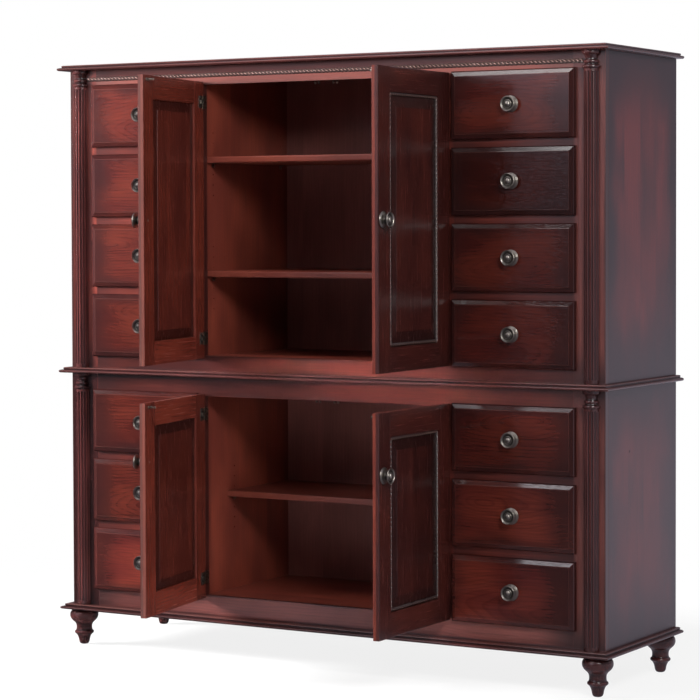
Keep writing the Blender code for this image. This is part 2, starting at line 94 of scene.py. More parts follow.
bpy.ops.object.camera_add()
camera = bpy.context.object
camera.matrix_world = Matrix.Translation(CAMERA_PLACE) @ Matrix(
    (camera_right, camera_top, -forward)).transposed().to_4x4()
camera.data.sensor_width = SENSOR_WIDTH
camera.data.lens = SENSOR_WIDTH * FOCAL_PIXELS / IMAGE_WIDTH
camera.data.shift_y = -HORIZON_RISE / IMAGE_WIDTH
bpy.context.scene.camera = camera
bpy.context.scene.view_settings.view_transform = "Standard"
print("lens", round(camera.data.lens, 1), "mm")

# %% [markdown]
# ## Studio light
# A strong soft lamp far to the left rakes over the front, so the open left doors shade what lies to
# their right. A weaker one in front, to the right, shines slantwise into the cupboards, one hangs
# overhead, and a narrow beam passes between the upper and the lower doors. Two strip lights high at
# the front left draw bright lines along mouldings and drawer fronts, and two small lamps give the
# knobs a gleam. Some lamps only light the wood, and some only gleam in the lacquer.

# %% Hang the lamps
def soft_lamp(name, place, aim, size, power, spread=180, shows="both"):
    """An area lamp turned to a place. A small spread keeps its light together, and shows says whether
    it lights the wood, gleams in the lacquer, or both."""
    bpy.ops.object.light_add(type="AREA", location=place)
    lamp = bpy.context.object
    lamp.name = name
    lamp.data.shape = "RECTANGLE"
    lamp.data.size, lamp.data.size_y = size
    lamp.data.energy = power
    lamp.data.spread = math.radians(spread)
    lamp.rotation_euler = (Vector(aim) - Vector(place)).to_track_quat("-Z", "Y").to_euler()
    lamp.visible_glossy = shows != "wood"
    lamp.visible_diffuse = shows != "lacquer"
    return lamp


MIDDLE = (0.0, 0.1, 0.95)
LEFT_DRAWERS = (-0.6, 0.0, 1.3)
DOOR_GAP = (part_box("door_lower_left")[1].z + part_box("door_upper_left")[0].z) / 2
STRIP_ROLL = math.radians(-20)   # the strip's right end hangs lower

# place, aim, size in metres, power in watts, spread in degrees
soft_lamp("lamp_left", (-4.1, -1.75, 2.15), (-0.5, 0.0, 1.85), (1.5, 1.5), 400, 90, "wood")
soft_lamp("lamp_glint", (-4.05, -2.95, 2.30), LEFT_DRAWERS, (1.2, 1.2), 9, shows="lacquer")
soft_lamp("lamp_gleam", (-1.95, -4.85, 3.10), LEFT_DRAWERS, (0.9, 0.9), 8, shows="lacquer")
soft_lamp("lamp_right", (3.2, -2.8, 3.0), MIDDLE, (1.1, 1.1), 150)
soft_lamp("lamp_above", (-0.25, -1.05, 3.7), MIDDLE, (0.9, 0.9), 50, shows="wood")
strip = soft_lamp("lamp_strip", (-1.52, -3.37, 4.70), (0.4, -0.3, 1.7), (3.6, 0.8), 70, shows="lacquer")
strip.rotation_euler.rotate_axis("Z", STRIP_ROLL)
soft_lamp("lamp_low_strip", (-1.40, -4.20, 2.75), (0.65, -0.05, 0.55), (0.7, 0.8), 1.5, shows="lacquer")
soft_lamp("lamp_low", (-4.0, -1.75, DOOR_GAP), (0.18, -0.035, DOOR_GAP), (0.25, 0.06), 2.4, 5.6, "wood")


# %% [markdown]
# ## World and floor
# The background is plain white to the camera. As a light, the world is dim, so that the lamps shape
# the piece. In reflections it is a studio: a white wall at the right, a pale ceiling, a window far
# round to the left, a soft box, and dark at the front. That is why the side panels look pale and the
# drawer fronts look deep. The floor does the same and has a white card on it. It shows the camera a
# share of its own shading near the feet, which is the shadow.

# %% Node helpers
WALL_WAY = (0.86, 0.50, 0.0)     # the way to the white wall at the right


def put(tree, kind, inputs=None, **settings):
    """Add a node, set its options, and link or fill its inputs by name or number."""
    node = tree.nodes.new(kind)
    for key, value in settings.items():
        setattr(node, key, value)
    for key, value in (inputs or {}).items():
        if isinstance(value, bpy.types.NodeSocket):
            tree.links.new(value, node.inputs[key])
        else:
            node.inputs[key].default_value = value
    return node


def give(tree, sockets, values):
    """Link values to sockets by name."""
    for label, value in values.items():
        tree.links.new(value, sockets[label])


def sums(tree, operation, *values):
    """One step of arithmetic; gives the result's socket."""
    return put(tree, "ShaderNodeMath", dict(enumerate(values)), operation=operation).outputs[0]


def vec(tree, operation, *values):
    """One step of arithmetic on vectors; gives the result's socket."""
    node = put(tree, "ShaderNodeVectorMath", dict(enumerate(values)), operation=operation)
    return node.outputs["Value" if operation in ("DOT_PRODUCT", "LENGTH", "DISTANCE") else "Vector"]


def parts_of(tree, vector):
    """The three parts of a vector."""
    return put(tree, "ShaderNodeSeparateXYZ", {0: vector}).outputs


def ramp(tree, value, low, high, to_low=0.0, to_high=1.0, smooth=True):
    """Map a value from one range to another, held at the ends."""
    return put(tree, "ShaderNodeMapRange", {0: value, 1: low, 2: high, 3: to_low, 4: to_high},
               interpolation_type="SMOOTHSTEP" if smooth else "LINEAR").outputs[0]


def grey(tree, value):
    """A value as a colour."""
    return put(tree, "ShaderNodeCombineColor", {0: value, 1: value, 2: value}).outputs[0]


def mix(tree, amount, first, second, mode="MIX"):
    """Blend two colours; gives the result's socket."""
    node = put(tree, "ShaderNodeMix", {0: amount, 6: first, 7: second}, data_type="RGBA", blend_type=mode)
    return node.outputs[2]


def towards_wall(tree, vector):
    """How far a place or a direction lies towards the white wall at the right."""
    return vec(tree, "DOT_PRODUCT", vector, WALL_WAY)


def by_ray(tree, lit, mirrored, seen):
    """Choose a shader by ray: falling light, reflections, or what the camera sees."""
    path = put(tree, "ShaderNodeLightPath").outputs
    direct = sums(tree, "MAXIMUM", path["Is Camera Ray"], path["Is Transmission Ray"])
    first = put(tree, "ShaderNodeMixShader", {0: path["Is Glossy Ray"], 1: lit, 2: mirrored})
    return put(tree, "ShaderNodeMixShader", {0: direct, 1: first.outputs[0], 2: seen}).outputs[0]


def new_material(name):
    """A new material and its nodes."""
    material = bpy.data.materials.new(name)
    material.use_nodes = True
    return material, material.node_tree


# %% World
WHITE = (1, 1, 1, 1)
FILL_COLOUR = (1, 0.98, 0.97, 1)
WORLD_LIGHT = 0.14
DARK_SIDE = 0.12         # brightness of reflections at the front
WALL = 0.44              # at the right
WINDOW = 0.40            # far round to the left
CEILING = 0.85           # overhead
WALL_TINT = (0.90, 0.84, 1.0, 1)
SOFT_BOX = (-0.360, -0.895, 0.262)   # the way to a white soft box, mirrored in the topmost drawer fronts
BOX_SHINE = 2.4
# the border of each fades between two cosines: from the wall, from straight up, from the soft box
WALL_FADE = (-0.20, 0.75)
WINDOW_FADE = (-0.920, -0.845)
CEILING_FADE = (0.45, 0.80)
BOX_FADE = (0.9715, 0.9785)

world = bpy.data.worlds.new("studio")
bpy.context.scene.world = world
world.use_nodes = True
tree = world.node_tree
tree.nodes.clear()
outward = put(tree, "ShaderNodeTexCoord").outputs["Generated"]
rightward = towards_wall(tree, outward)
wall = ramp(tree, rightward, *WALL_FADE, DARK_SIDE, WALL)
ceiling = ramp(tree, parts_of(tree, outward)[2], *CEILING_FADE, 0.0, CEILING)
window = ramp(tree, rightward, *WINDOW_FADE, WINDOW, 0.0)
soft_box = ramp(tree, vec(tree, "DOT_PRODUCT", outward, SOFT_BOX), *BOX_FADE, 0.0, BOX_SHINE)
shine = sums(tree, "MAXIMUM", sums(tree, "MAXIMUM", wall, ceiling), sums(tree, "MAXIMUM", window, soft_box))
room = mix(tree, 1.0, grey(tree, shine), WALL_TINT, "MULTIPLY")
fill_light, reflected, backdrop = (
    put(tree, "ShaderNodeBackground", {"Color": colour, "Strength": strength}).outputs[0]
    for colour, strength in ((FILL_COLOUR, WORLD_LIGHT), (room, 1.0), (WHITE, 1.0)))
put(tree, "ShaderNodeOutputWorld", {"Surface": by_ray(tree, fill_light, reflected, backdrop)})
print("world:", len(tree.nodes), "nodes")

# %% Floor
FLOOR_SIZE = 60
FLOOR_PAINT = (0.85, 0.85, 0.85, 1)
FLOOR_WALL = 0.88        # brightness of the floor's reflection towards the wall
FLOOR_SHADE = 0.15       # share of the floor's own shading that the camera sees near the feet
CARD_PLACE = (-0.55, -0.82, 0)    # a white card on the floor, mirrored only in the lowest rail
# the fade of each in metres: shading and card from their middles, the wall's reflection towards the wall
SHADE_FADE = (1.0, 2.6)
CARD_FADE = (0.38, 0.48)
FLOOR_FADE = (-0.5, 2.5)

bpy.ops.object.select_all(action="DESELECT")
bpy.ops.mesh.primitive_plane_add(size=FLOOR_SIZE, location=(0, 0, 0))
floor = bpy.context.object
floor.name = "studio_floor"
paint, tree = new_material("studio_floor")
tree.nodes.clear()
place = put(tree, "ShaderNodeTexCoord").outputs["Object"]
matt = put(tree, "ShaderNodeBsdfDiffuse", {"Color": FLOOR_PAINT}).outputs[0]
white = put(tree, "ShaderNodeEmission", {"Color": WHITE, "Strength": 1.0}).outputs[0]
shadow = ramp(tree, vec(tree, "LENGTH", place), *SHADE_FADE, FLOOR_SHADE, 0.0)
seen = put(tree, "ShaderNodeMixShader", {0: shadow, 1: white, 2: matt}).outputs[0]
wall = ramp(tree, towards_wall(tree, place), *FLOOR_FADE, DARK_SIDE, FLOOR_WALL)
card = ramp(tree, vec(tree, "DISTANCE", place, CARD_PLACE), *CARD_FADE, 1.0, 0.0)
sheen = mix(tree, 1.0, grey(tree, sums(tree, "MAXIMUM", wall, card)), WALL_TINT, "MULTIPLY")
reflected = put(tree, "ShaderNodeEmission", {"Color": sheen, "Strength": 1.0}).outputs[0]
put(tree, "ShaderNodeOutputMaterial", {"Surface": by_ray(tree, matt, reflected, seen)})
floor.data.materials.append(paint)
floor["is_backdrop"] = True
print("floor laid")

# %% [markdown]
# ## The cherry finish, as shared effects
# Every wooden piece is the same timber with the same stain and lacquer, so grain and burnishing are
# two node groups that each material uses with its own values. They read notes kept on each vertex:
# its place in its board (along, across and through the grain), the board's half sizes, a seed that
# makes each board's grain its own, how far it is darkened there (in grooves, by a filler, and as
# painted shade), how much painted light it has, how far the glow leans to one side, and how much
# lighter or darker it is painted, which on many pieces is painted light and shade. A picture of wood
# would be quicker, but it can't follow every board.

# %% Group maker
def new_group(name, inputs, outputs):
    """An empty shader group; of its sockets Place and Reach are vectors and the others are numbers."""
    tree = bpy.data.node_groups.new(name, "ShaderNodeTree")
    for way, labels in (("INPUT", inputs), ("OUTPUT", outputs)):
        for label in labels.split():
            kind = "Vector" if label in ("Place", "Reach") else "Float"
            tree.interface.new_socket(label, in_out=way, socket_type="NodeSocket" + kind)
    return tree, tree.nodes.new("NodeGroupInput").outputs, tree.nodes.new("NodeGroupOutput").inputs


def noise(tree, vector, stretch, detail=2.0, rough=0.5):
    """Smooth noise, with as many features per metre along each way of the grain as stretch says."""
    spot = vec(tree, "MULTIPLY", vector, stretch)
    return put(tree, "ShaderNodeTexNoise",
               {"Vector": spot, "Scale": 1.0, "Detail": detail, "Roughness": rough}).outputs


# %% [markdown]
# Growth rings are shells round the pith of the tree. Each board is a slice at its own distance from
# the pith and a little off its line, so the rings show as flames and arches. Wide panels are glued up
# from strips: each strip has its own grain and its own tone.

# %% Cherry grain
# features per metre along, across and through the grain
SWAY_SCALE = (2.6, 9.0, 9.0)
FIBRE_SCALE = (6.0, 210.0, 210.0)
PORE_SCALE = (48.0, 1300.0, 1300.0)
FIGURE_SCALE = (3.0, 7.5, 7.5)
SWAYS = (0.050, 0.044)           # how far the rings wander across the board and into it
PITH_STARTS = (-0.07, -0.02)     # the pith lies from here, across the board and into it
PITH_SPANS = (0.14, 0.06)        # to this much further
LATE_START = 0.45                # share of a ring where late wood begins
LATE_PEAK = 0.92                 # and where it is darkest
STRIP_OFFSET = (17.0, 9.3, 6.1)  # strips are cut from places up to this far apart
STRIP_SEED = 3.7                 # added to the seed from strip to strip
JOINT_SEED = 0.317               # how far the glue joints move, in strips, with the seed

GRAIN, source, sink = new_group(
    "cherry_grain", "Place Seed Flame Pitch Strip", "Rings Fibres Pores Figure Tone")
tree = GRAIN
along, across, through = parts_of(tree, source["Place"])
start = sums(tree, "FRACT", sums(tree, "MULTIPLY", source["Seed"], JOINT_SEED))
strip = sums(tree, "FLOOR", sums(tree, "ADD", sums(tree, "DIVIDE", across, source["Strip"]), start))
number = sums(tree, "ADD", source["Seed"], sums(tree, "MULTIPLY", strip, STRIP_SEED))
luck = put(tree, "ShaderNodeTexWhiteNoise", {"W": number}, noise_dimensions="1D").outputs
chance = put(tree, "ShaderNodeSeparateColor", {0: luck["Color"]}).outputs

spot = vec(tree, "ADD", source["Place"], vec(tree, "MULTIPLY", luck["Color"], STRIP_OFFSET))
sway = put(tree, "ShaderNodeSeparateColor", {0: noise(tree, spot, SWAY_SCALE)["Color"]}).outputs
sway_across, sway_deep = (
    sums(tree, "MULTIPLY_ADD", sway[k], SWAYS[k], -SWAYS[k] / 2) for k in (0, 1))
pith_across, pith_deep = (
    sums(tree, "MULTIPLY_ADD", chance[k], PITH_SPANS[k], PITH_STARTS[k]) for k in (0, 1))
beside = sums(tree, "ADD", sums(tree, "SUBTRACT", across, pith_across), sway_across)
tilt = sums(tree, "MULTIPLY_ADD", along, source["Flame"], pith_deep)
deep = sums(tree, "ADD", sums(tree, "ADD", tilt, through), sway_deep)
from_pith = vec(tree, "LENGTH", put(tree, "ShaderNodeCombineXYZ", {0: beside, 1: deep}).outputs[0])
phase = sums(tree, "FRACT", sums(tree, "DIVIDE", from_pith, source["Pitch"]))
late_wood = sums(tree, "MULTIPLY", ramp(tree, phase, LATE_START, LATE_PEAK),
                 ramp(tree, phase, LATE_PEAK, 1.0, 1.0, 0.0))
give(tree, sink, {
    "Rings": late_wood,
    "Fibres": noise(tree, spot, FIBRE_SCALE, 3.0, 0.62)[0],
    "Pores": ramp(tree, noise(tree, spot, PORE_SCALE, 1.0)[0], 0.60, 0.72),
    "Figure": noise(tree, spot, FIGURE_SCALE, 2.5, 0.55)[0],
    "Tone": luck["Value"]})
print("grain group:", len(tree.nodes), "nodes")

# %% [markdown]
# The stain is sprayed darker round the edge of each board, so a drawer front glows in the middle.
# How wide the dark border is differs along and across the board, and clouds make it uneven, as the
# spray gun does. A board may also note a lean, which moves its glow to one side.

# %% Burnished edges
CLOUD_SCALE = (5.0, 7.0, 7.0)    # features per metre
ARRIS_FADE = (0.0004, 0.0022)    # an arris is worn up to the first distance, less and less to the second

BURNISH, source, sink = new_group(
    "burnished_edges", "Place Reach Seed Along Across Uneven Lean", "Edge Arris Cloud")
tree = BURNISH
inside = vec(tree, "SUBTRACT", source["Reach"], vec(tree, "ABSOLUTE", source["Place"]))
from_end, from_side, from_face = parts_of(tree, inside)
seeds = put(tree, "ShaderNodeCombineXYZ", dict.fromkeys(range(3), source["Seed"])).outputs[0]
cloud = noise(tree, vec(tree, "ADD", source["Place"], seeds), CLOUD_SCALE, 1.5, 0.5)[0]
shift = sums(tree, "MULTIPLY", sums(tree, "SUBTRACT", cloud, 0.5), source["Uneven"])
off_middle = sums(tree, "ABSOLUTE", sums(tree, "ADD", parts_of(tree, source["Place"])[0], source["Lean"]))
leant = sums(tree, "SUBTRACT", parts_of(tree, source["Reach"])[0], off_middle)
clear_along, clear_across = (
    ramp(tree, sums(tree, "DIVIDE", sums(tree, "ADD", distance, shift), source[way]), 0.0, 1.0)
    for distance, way in ((leant, "Along"), (from_side, "Across")))
nearer = sums(tree, "MINIMUM", from_end, from_side)
further = sums(tree, "MAXIMUM", from_end, from_side)
arris = sums(tree, "MAXIMUM", nearer, sums(tree, "MINIMUM", further, from_face))
give(tree, sink, {
    "Edge": sums(tree, "SUBTRACT", 1.0, sums(tree, "MULTIPLY", clear_along, clear_across)),
    "Arris": ramp(tree, arris, *ARRIS_FADE, 1.0, 0.0),
    "Cloud": cloud})
print("burnish group:", len(tree.nodes), "nodes")


# %% [markdown]
# ## Cherry materials
# One function mixes the stain: a red heart, an orange glow where the figure is bright, darker growth
# rings and fibres, and a near-black border. Over that it paints a pale colour where a note asks for
# painted light, and near black where a note darkens it: in grooves, by a filler, and as painted shade.
# The lacquer over it is a satin gloss, a little rougher where fibres show, with the open pores pressed
# in by a bump.

# %% Mixing the stain
PAINTED_LIGHT_COLOUR = (0.190, 0.0850, 0.0700, 1)    # painted light: a pale colour laid on lit strips and as highlights on arrises
RING_STAIN = (0.30, 0.20, 0.20, 1)
PORE_STAIN = 0.30
PAINTED_LIGHT_LIMIT = 0.60         # how far full painted light goes towards that colour
DARKENING_LIMIT = 0.85      # and how far a full darkening goes, which is partly painted shade
DARKENING_SHARE = 0.5       # the darkening is this share as bright as the border
WEAR = (0.05, 0.40)      # least and most that an arris is worn back to the glow
PORE_DEPTH = 0.7         # depth of a pore beside that of the fibres
WOOD_RELIEF = {"Distance": 0.00030, "Strength": 0.18}
FIBRE_ROUGH = 0.10       # how much the roughness differs from fibre to fibre
INNER_SPRAY = 0.45       # share of the dark border on a door's inner side


def note_of(tree, name, output="Fac"):
    """A note kept on the vertices."""
    return put(tree, "ShaderNodeAttribute", attribute_name=name).outputs[output]


def cherry(name, heart, glow, border, along, across, uneven, strength, flame=0.10, pitch=0.0085, rings=0.3,
           strip=9.0, tone=0.15, streak=0.28, gloss=0.30, inner=None):
    """A cherry finish. Inner, if given, is the pair of heart and glow colours on a door's inner side."""
    material, tree = new_material(name)
    place = note_of(tree, "place", "Vector")
    board_values = {"Place": place, "Seed": note_of(tree, "seed")}
    grain = put(tree, "ShaderNodeGroup", {**board_values, "Flame": flame, "Pitch": pitch, "Strip": strip},
                node_tree=GRAIN).outputs
    edges = put(tree, "ShaderNodeGroup",
                {**board_values, "Reach": note_of(tree, "reach", "Vector"), "Along": along, "Across": across,
                 "Uneven": uneven, "Lean": note_of(tree, "lean")}, node_tree=BURNISH).outputs

    figure = ramp(tree, grain["Figure"], 0.32, 0.68)
    wood = mix(tree, figure, (*heart, 1), (*glow, 1))
    spray = sums(tree, "MULTIPLY", edges["Edge"], strength)
    if inner:
        side = ramp(tree, parts_of(tree, place)[2], -0.001, 0.001)
        wood = mix(tree, side, wood, mix(tree, figure, (*inner[0], 1), (*inner[1], 1)))
        spray = sums(tree, "MULTIPLY", spray, ramp(tree, side, 0.0, 1.0, 1.0, INNER_SPRAY))
    # each strip's random tone, plus the tone note, which on many pieces is painted light and shade
    shade = sums(tree, "ADD", ramp(tree, grain["Tone"], 0, 1, 1 - tone, 1 + tone), note_of(tree, "tone"))
    wood = mix(tree, 1.0, wood, grey(tree, shade), "MULTIPLY")
    wood = mix(tree, sums(tree, "MULTIPLY", grain["Rings"], rings), wood, RING_STAIN, "MULTIPLY")
    fibres = ramp(tree, grain["Fibres"], 0.30, 0.70, 1 - streak, 1 + 0.8 * streak, smooth=False)
    wood = mix(tree, 1.0, wood, grey(tree, fibres), "MULTIPLY")
    worn = sums(tree, "MULTIPLY", edges["Arris"], ramp(tree, edges["Cloud"], 0.40, 0.62, *WEAR))
    black = (*[DARKENING_SHARE * part for part in border], 1)
    # the last two mixes are painted light and the darkening note, which is partly painted shade
    for amount, colour in (
            (spray, (*border, 1)),
            (sums(tree, "MULTIPLY", grain["Pores"], PORE_STAIN), (*border, 1)),
            (worn, (*glow, 1)),
            (sums(tree, "MULTIPLY", note_of(tree, "painted_light"), PAINTED_LIGHT_LIMIT), PAINTED_LIGHT_COLOUR),
            (sums(tree, "MULTIPLY", note_of(tree, "dark_and_shade"), DARKENING_LIMIT), black)):
        wood = mix(tree, amount, wood, colour)

    relief = sums(tree, "MULTIPLY_ADD", grain["Pores"], -PORE_DEPTH, grain["Fibres"])
    bump = put(tree, "ShaderNodeBump", {"Height": relief, **WOOD_RELIEF})
    give(tree, tree.nodes["Principled BSDF"].inputs, {
        "Base Color": wood,
        "Roughness": sums(tree, "MULTIPLY_ADD", grain["Fibres"], FIBRE_ROUGH, gloss - FIBRE_ROUGH / 2),
        "Normal": bump.outputs[0]})
    return material


# %% The finishes
# heart, glow and border colours; width of the border along and across, its unevenness and its strength
BURNISHED = cherry(
    "burnished_cherry", (0.036, 0.0056, 0.0046), (0.074, 0.0130, 0.0078), (0.012, 0.0040, 0.0040),
    0.100, 0.045, 0.090, 0.74, flame=0.20, pitch=0.0090, rings=0.32, tone=0.10, gloss=0.11)
FRAME_CHERRY = cherry(
    "frame_cherry", (0.056, 0.0112, 0.0088), (0.094, 0.0182, 0.0128), (0.016, 0.0072, 0.0072),
    0.12, 0.010, 0.030, 0.50, flame=0.05, rings=0.24)
STILE_CHERRY = cherry(
    "stile_cherry", (0.100, 0.0280, 0.0240), (0.145, 0.0400, 0.0325), (0.022, 0.0095, 0.0095),
    0.12, 0.006, 0.010, 0.85, flame=0.05, rings=0.24)
MOULDING = cherry(
    "moulding_cherry", (0.038, 0.0102, 0.0100), (0.060, 0.0150, 0.0135), (0.012, 0.0058, 0.0062),
    0.05, 0.004, 0.020, 0.35, flame=0.04, rings=0.22, gloss=0.25)
# pale colours that make the rope's painted highlights; the darkening note paints the rest near black as shade
ROPE_HIGHLIGHT = cherry(
    "rope_highlight_cherry", (0.280, 0.1600, 0.1400), (0.400, 0.2450, 0.2200), (0.005, 0.0025, 0.0025),
    0.001, 0.001, 0.0, 0.0, rings=0.1, gloss=0.26)
SIDE_CHERRY = cherry(
    "side_cherry", (0.052, 0.0102, 0.0112), (0.118, 0.0178, 0.0165), (0.010, 0.0055, 0.0080),
    0.24, 0.13, 0.16, 0.88, flame=0.03, pitch=0.012, rings=0.28, strip=0.11, tone=0.12, gloss=0.33)
DOOR_CHERRY = cherry(
    "door_cherry", (0.040, 0.0085, 0.0074), (0.070, 0.0140, 0.0100), (0.010, 0.0050, 0.0055),
    0.07, 0.014, 0.020, 0.25, flame=0.06, rings=0.26, tone=0.20, gloss=0.26,
    inner=((0.105, 0.0190, 0.0122), (0.155, 0.0290, 0.0168)))
PANEL_CHERRY = cherry(
    "panel_cherry", (0.032, 0.0070, 0.0062), (0.060, 0.0122, 0.0090), (0.009, 0.0045, 0.0048),
    0.050, 0.030, 0.020, 0.45, flame=0.06, rings=0.28, strip=0.14, tone=0.28, gloss=0.26,
    inner=((0.064, 0.0122, 0.0086), (0.104, 0.0196, 0.0122)))
BACK_CHERRY = cherry(
    "back_cherry", (0.195, 0.0680, 0.0600), (0.270, 0.0950, 0.0800), (0.070, 0.0280, 0.0260),
    0.05, 0.040, 0.040, 0.30, flame=0.05, pitch=0.011, rings=0.10, strip=0.30, tone=0.12,
    streak=0.12, gloss=0.42)
INSIDE = cherry(
    "inside_cherry", (0.140, 0.0285, 0.0190), (0.215, 0.0445, 0.0260), (0.050, 0.0125, 0.0100),
    0.05, 0.040, 0.040, 0.30, flame=0.05, pitch=0.011, rings=0.14, strip=0.16, tone=0.12,
    streak=0.14, gloss=0.40)
print("cherry finishes:", [m.name for m in bpy.data.materials if "cherry" in m.name])

# %% [markdown]
# ## Metal finishes
# The knobs are antique pewter: bright where hands rub it, nearly black in the hollows. The hinges
# and catches are nickel plate, mottled by age. Both take their spots from Object coordinates.

# %% Pewter and nickel
GRIT = (2600.0, 2600.0, 2600.0)
METAL_RELIEF = {"Distance": 0.0002, "Strength": 0.12}
PATINA_ROUGH = 0.25      # how much rougher the patina is


def metal(name, bright, dark, spots, patina, rough):
    """A cast metal with a darker patina in clouds and hollows, and a fine grain."""
    material, tree = new_material(name)
    place = put(tree, "ShaderNodeTexCoord").outputs["Object"]
    cloud = noise(tree, place, (spots, spots, spots), 3.0, 0.55)[0]
    clouded = sums(tree, "MULTIPLY", ramp(tree, cloud, 0.35, 0.70), patina)
    aged = sums(tree, "MAXIMUM", clouded, note_of(tree, "dark_and_shade"))
    bump = put(tree, "ShaderNodeBump", {"Height": noise(tree, place, GRIT, 1.0)[0], **METAL_RELIEF})
    shader = tree.nodes["Principled BSDF"].inputs
    shader["Metallic"].default_value = 1.0
    give(tree, shader, {
        "Base Color": mix(tree, aged, (*bright, 1), (*dark, 1)),
        "Roughness": sums(tree, "MULTIPLY_ADD", aged, PATINA_ROUGH, rough),
        "Normal": bump.outputs[0]})
    return material


PEWTER = metal("antique_pewter", (0.29, 0.265, 0.230), (0.030, 0.026, 0.022), 60.0, 0.45, 0.30)
NICKEL = metal("nickel_plate", (0.34, 0.310, 0.265), (0.045, 0.038, 0.032), 170.0, 0.90, 0.30)
print("metal finishes:", PEWTER.name, NICKEL.name)


# %% [markdown]
# ## Habits at the bench
# A few short helpers stand for what the hand does again and again in Blender: let go of everything,
# take up a piece, pick faces or edges by where they are, apply a modifier, join boards, make a copy,
# cut by a plane, shade smooth.

# %% Helpers for modelling
def let_go():
    """Leave edit mode and deselect everything."""
    if bpy.context.mode != "OBJECT":
        bpy.ops.object.mode_set(mode="OBJECT")
    bpy.ops.object.select_all(action="DESELECT")


def take(*pieces):
    """Select these pieces alone, with the first one active."""
    let_go()
    for piece in pieces:
        piece.select_set(True)
    bpy.context.view_layer.objects.active = pieces[0]


def open_up(piece):
    """Go into edit mode on one piece, with all of it selected."""
    take(piece)
    bpy.ops.object.mode_set(mode="EDIT")
    bpy.ops.mesh.select_all(action="SELECT")


def pick(kind, test):
    """In edit mode, select the faces, edges or vertices that pass a test."""
    bpy.ops.mesh.select_mode(type=kind)
    bpy.ops.mesh.select_all(action="DESELECT")
    shape = bmesh.from_edit_mesh(bpy.context.object.data)
    for item in {"FACE": shape.faces, "EDGE": shape.edges, "VERT": shape.verts}[kind]:
        if test(item):
            item.select_set(True)
    bmesh.update_edit_mesh(bpy.context.object.data)


def named(piece, name):
    """Name a piece and its mesh."""
    piece.name = name
    piece.data.name = name
    return piece


def fresh(name):
    """The primitive just added, named, with its place and size put into its mesh."""
    bpy.ops.object.transform_apply(location=True, rotation=True, scale=True)
    return named(bpy.context.object, name)


def modify(piece, kind, **settings):
    """Add a modifier and apply it."""
    take(piece)
    modifier = piece.modifiers.new(kind.lower(), kind)
    for key, value in settings.items():
        setattr(modifier, key, value)
    bpy.ops.object.modifier_apply(modifier=modifier.name)


def carve(piece, cutter):
    """Cut one piece out of another."""
    modify(piece, "BOOLEAN", object=cutter, operation="DIFFERENCE", solver="EXACT")
    bpy.data.objects.remove(cutter)


def joined(name, pieces):
    """Make several boards one object."""
    take(*pieces)
    bpy.ops.object.join()
    return named(bpy.context.object, name)


def set_down(piece, place=(0, 0, 0), turn=(0, 0, 0)):
    """Turn and move a piece, and put its place into its mesh."""
    take(piece)
    piece.location = place
    piece.rotation_euler = turn
    bpy.ops.object.transform_apply(location=True, rotation=True, scale=True)
    return piece


def copy_of(piece, name):
    """A copy with a mesh of its own."""
    take(piece)
    bpy.ops.object.duplicate(linked=False)
    return named(bpy.context.object, name)


def slice_off(piece, place, outward):
    """Cut a piece by a plane, drop what lies outward, and close the cut."""
    open_up(piece)
    bpy.ops.mesh.bisect(plane_co=place, plane_no=outward, clear_outer=True, use_fill=True)
    let_go()


def face_out(piece):
    """Turn all faces outwards."""
    open_up(piece)
    bpy.ops.mesh.normals_make_consistent(inside=False)
    let_go()


def smooth(piece, degrees):
    """Shade a piece smooth wherever it bends by less than this."""
    take(piece)
    bpy.ops.object.shade_smooth_by_angle(angle=math.radians(degrees))


def coat(piece, finish):
    """Give a piece one finish."""
    piece.data.materials.clear()
    piece.data.materials.append(finish)
    return piece


def settle(piece, body, slot, *nodes):
    """Hand a finished piece to its CAD body and hide the nodes it stands for; the slot is not used."""
    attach(piece, body)
    if nodes:
        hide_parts(*nodes)
    return piece


# %% Notes for the grain
WAYS = {"x": 0, "y": 1, "z": 2}
TOUCH = 1e-5             # places nearer than this are the same


def spots_of(piece):
    """Where the vertices of a piece are, one row each."""
    return np.array([vertex.co[:] for vertex in piece.data.vertices])


def keep_note(piece, name, values):
    """Write a note on the vertices: one value for all, a value each, or a vector each."""
    mesh = piece.data
    values = np.asarray(values, np.float32)
    if values.ndim == 0:
        values = np.full(len(mesh.vertices), values)
    kind, field = ("FLOAT_VECTOR", "vector") if values.ndim == 2 else ("FLOAT", "value")
    layer = mesh.attributes.get(name) or mesh.attributes.new(name, kind, "POINT")
    layer.data.foreach_set(field, values.ravel())


def lay_grain(piece, along, across, seed, finish):
    """Note each vertex's place in its board, the board's half sizes and its seed; give it its finish."""
    order = [WAYS[along], WAYS[across], 3 - WAYS[along] - WAYS[across]]
    spots = spots_of(piece)[:, order]
    low, high = spots.min(0), spots.max(0)
    keep_note(piece, "place", spots - (low + high) / 2)
    keep_note(piece, "reach", np.tile((high - low) / 2, (len(spots), 1)))
    keep_note(piece, "seed", seed)
    return coat(piece, finish)


def shift_seed(piece, step):
    """Give a copied piece grain of its own."""
    layer = piece.data.attributes["seed"].data
    values = np.zeros(len(layer), np.float32)
    layer.foreach_get("value", values)
    layer.foreach_set("value", values + step)


# %% [markdown]
# ## Boards
# Most of a dresser is boards. A sawn board is a cube set to its size, and its arrises are eased by
# a narrow bevel, because a perfectly sharp edge never catches the light.

# %% A board
def board(name, low, high, ease=0):
    """A board between two corners, with its arrises eased if a width is given."""
    let_go()
    middle = [(a + b) / 2 for a, b in zip(low, high)]
    size = [b - a for a, b in zip(low, high)]
    bpy.ops.mesh.primitive_cube_add(size=1, location=middle, scale=size)
    piece = fresh(name)
    if ease:
        modify(piece, "BEVEL", width=ease, segments=2, limit_method="ANGLE")
    return piece


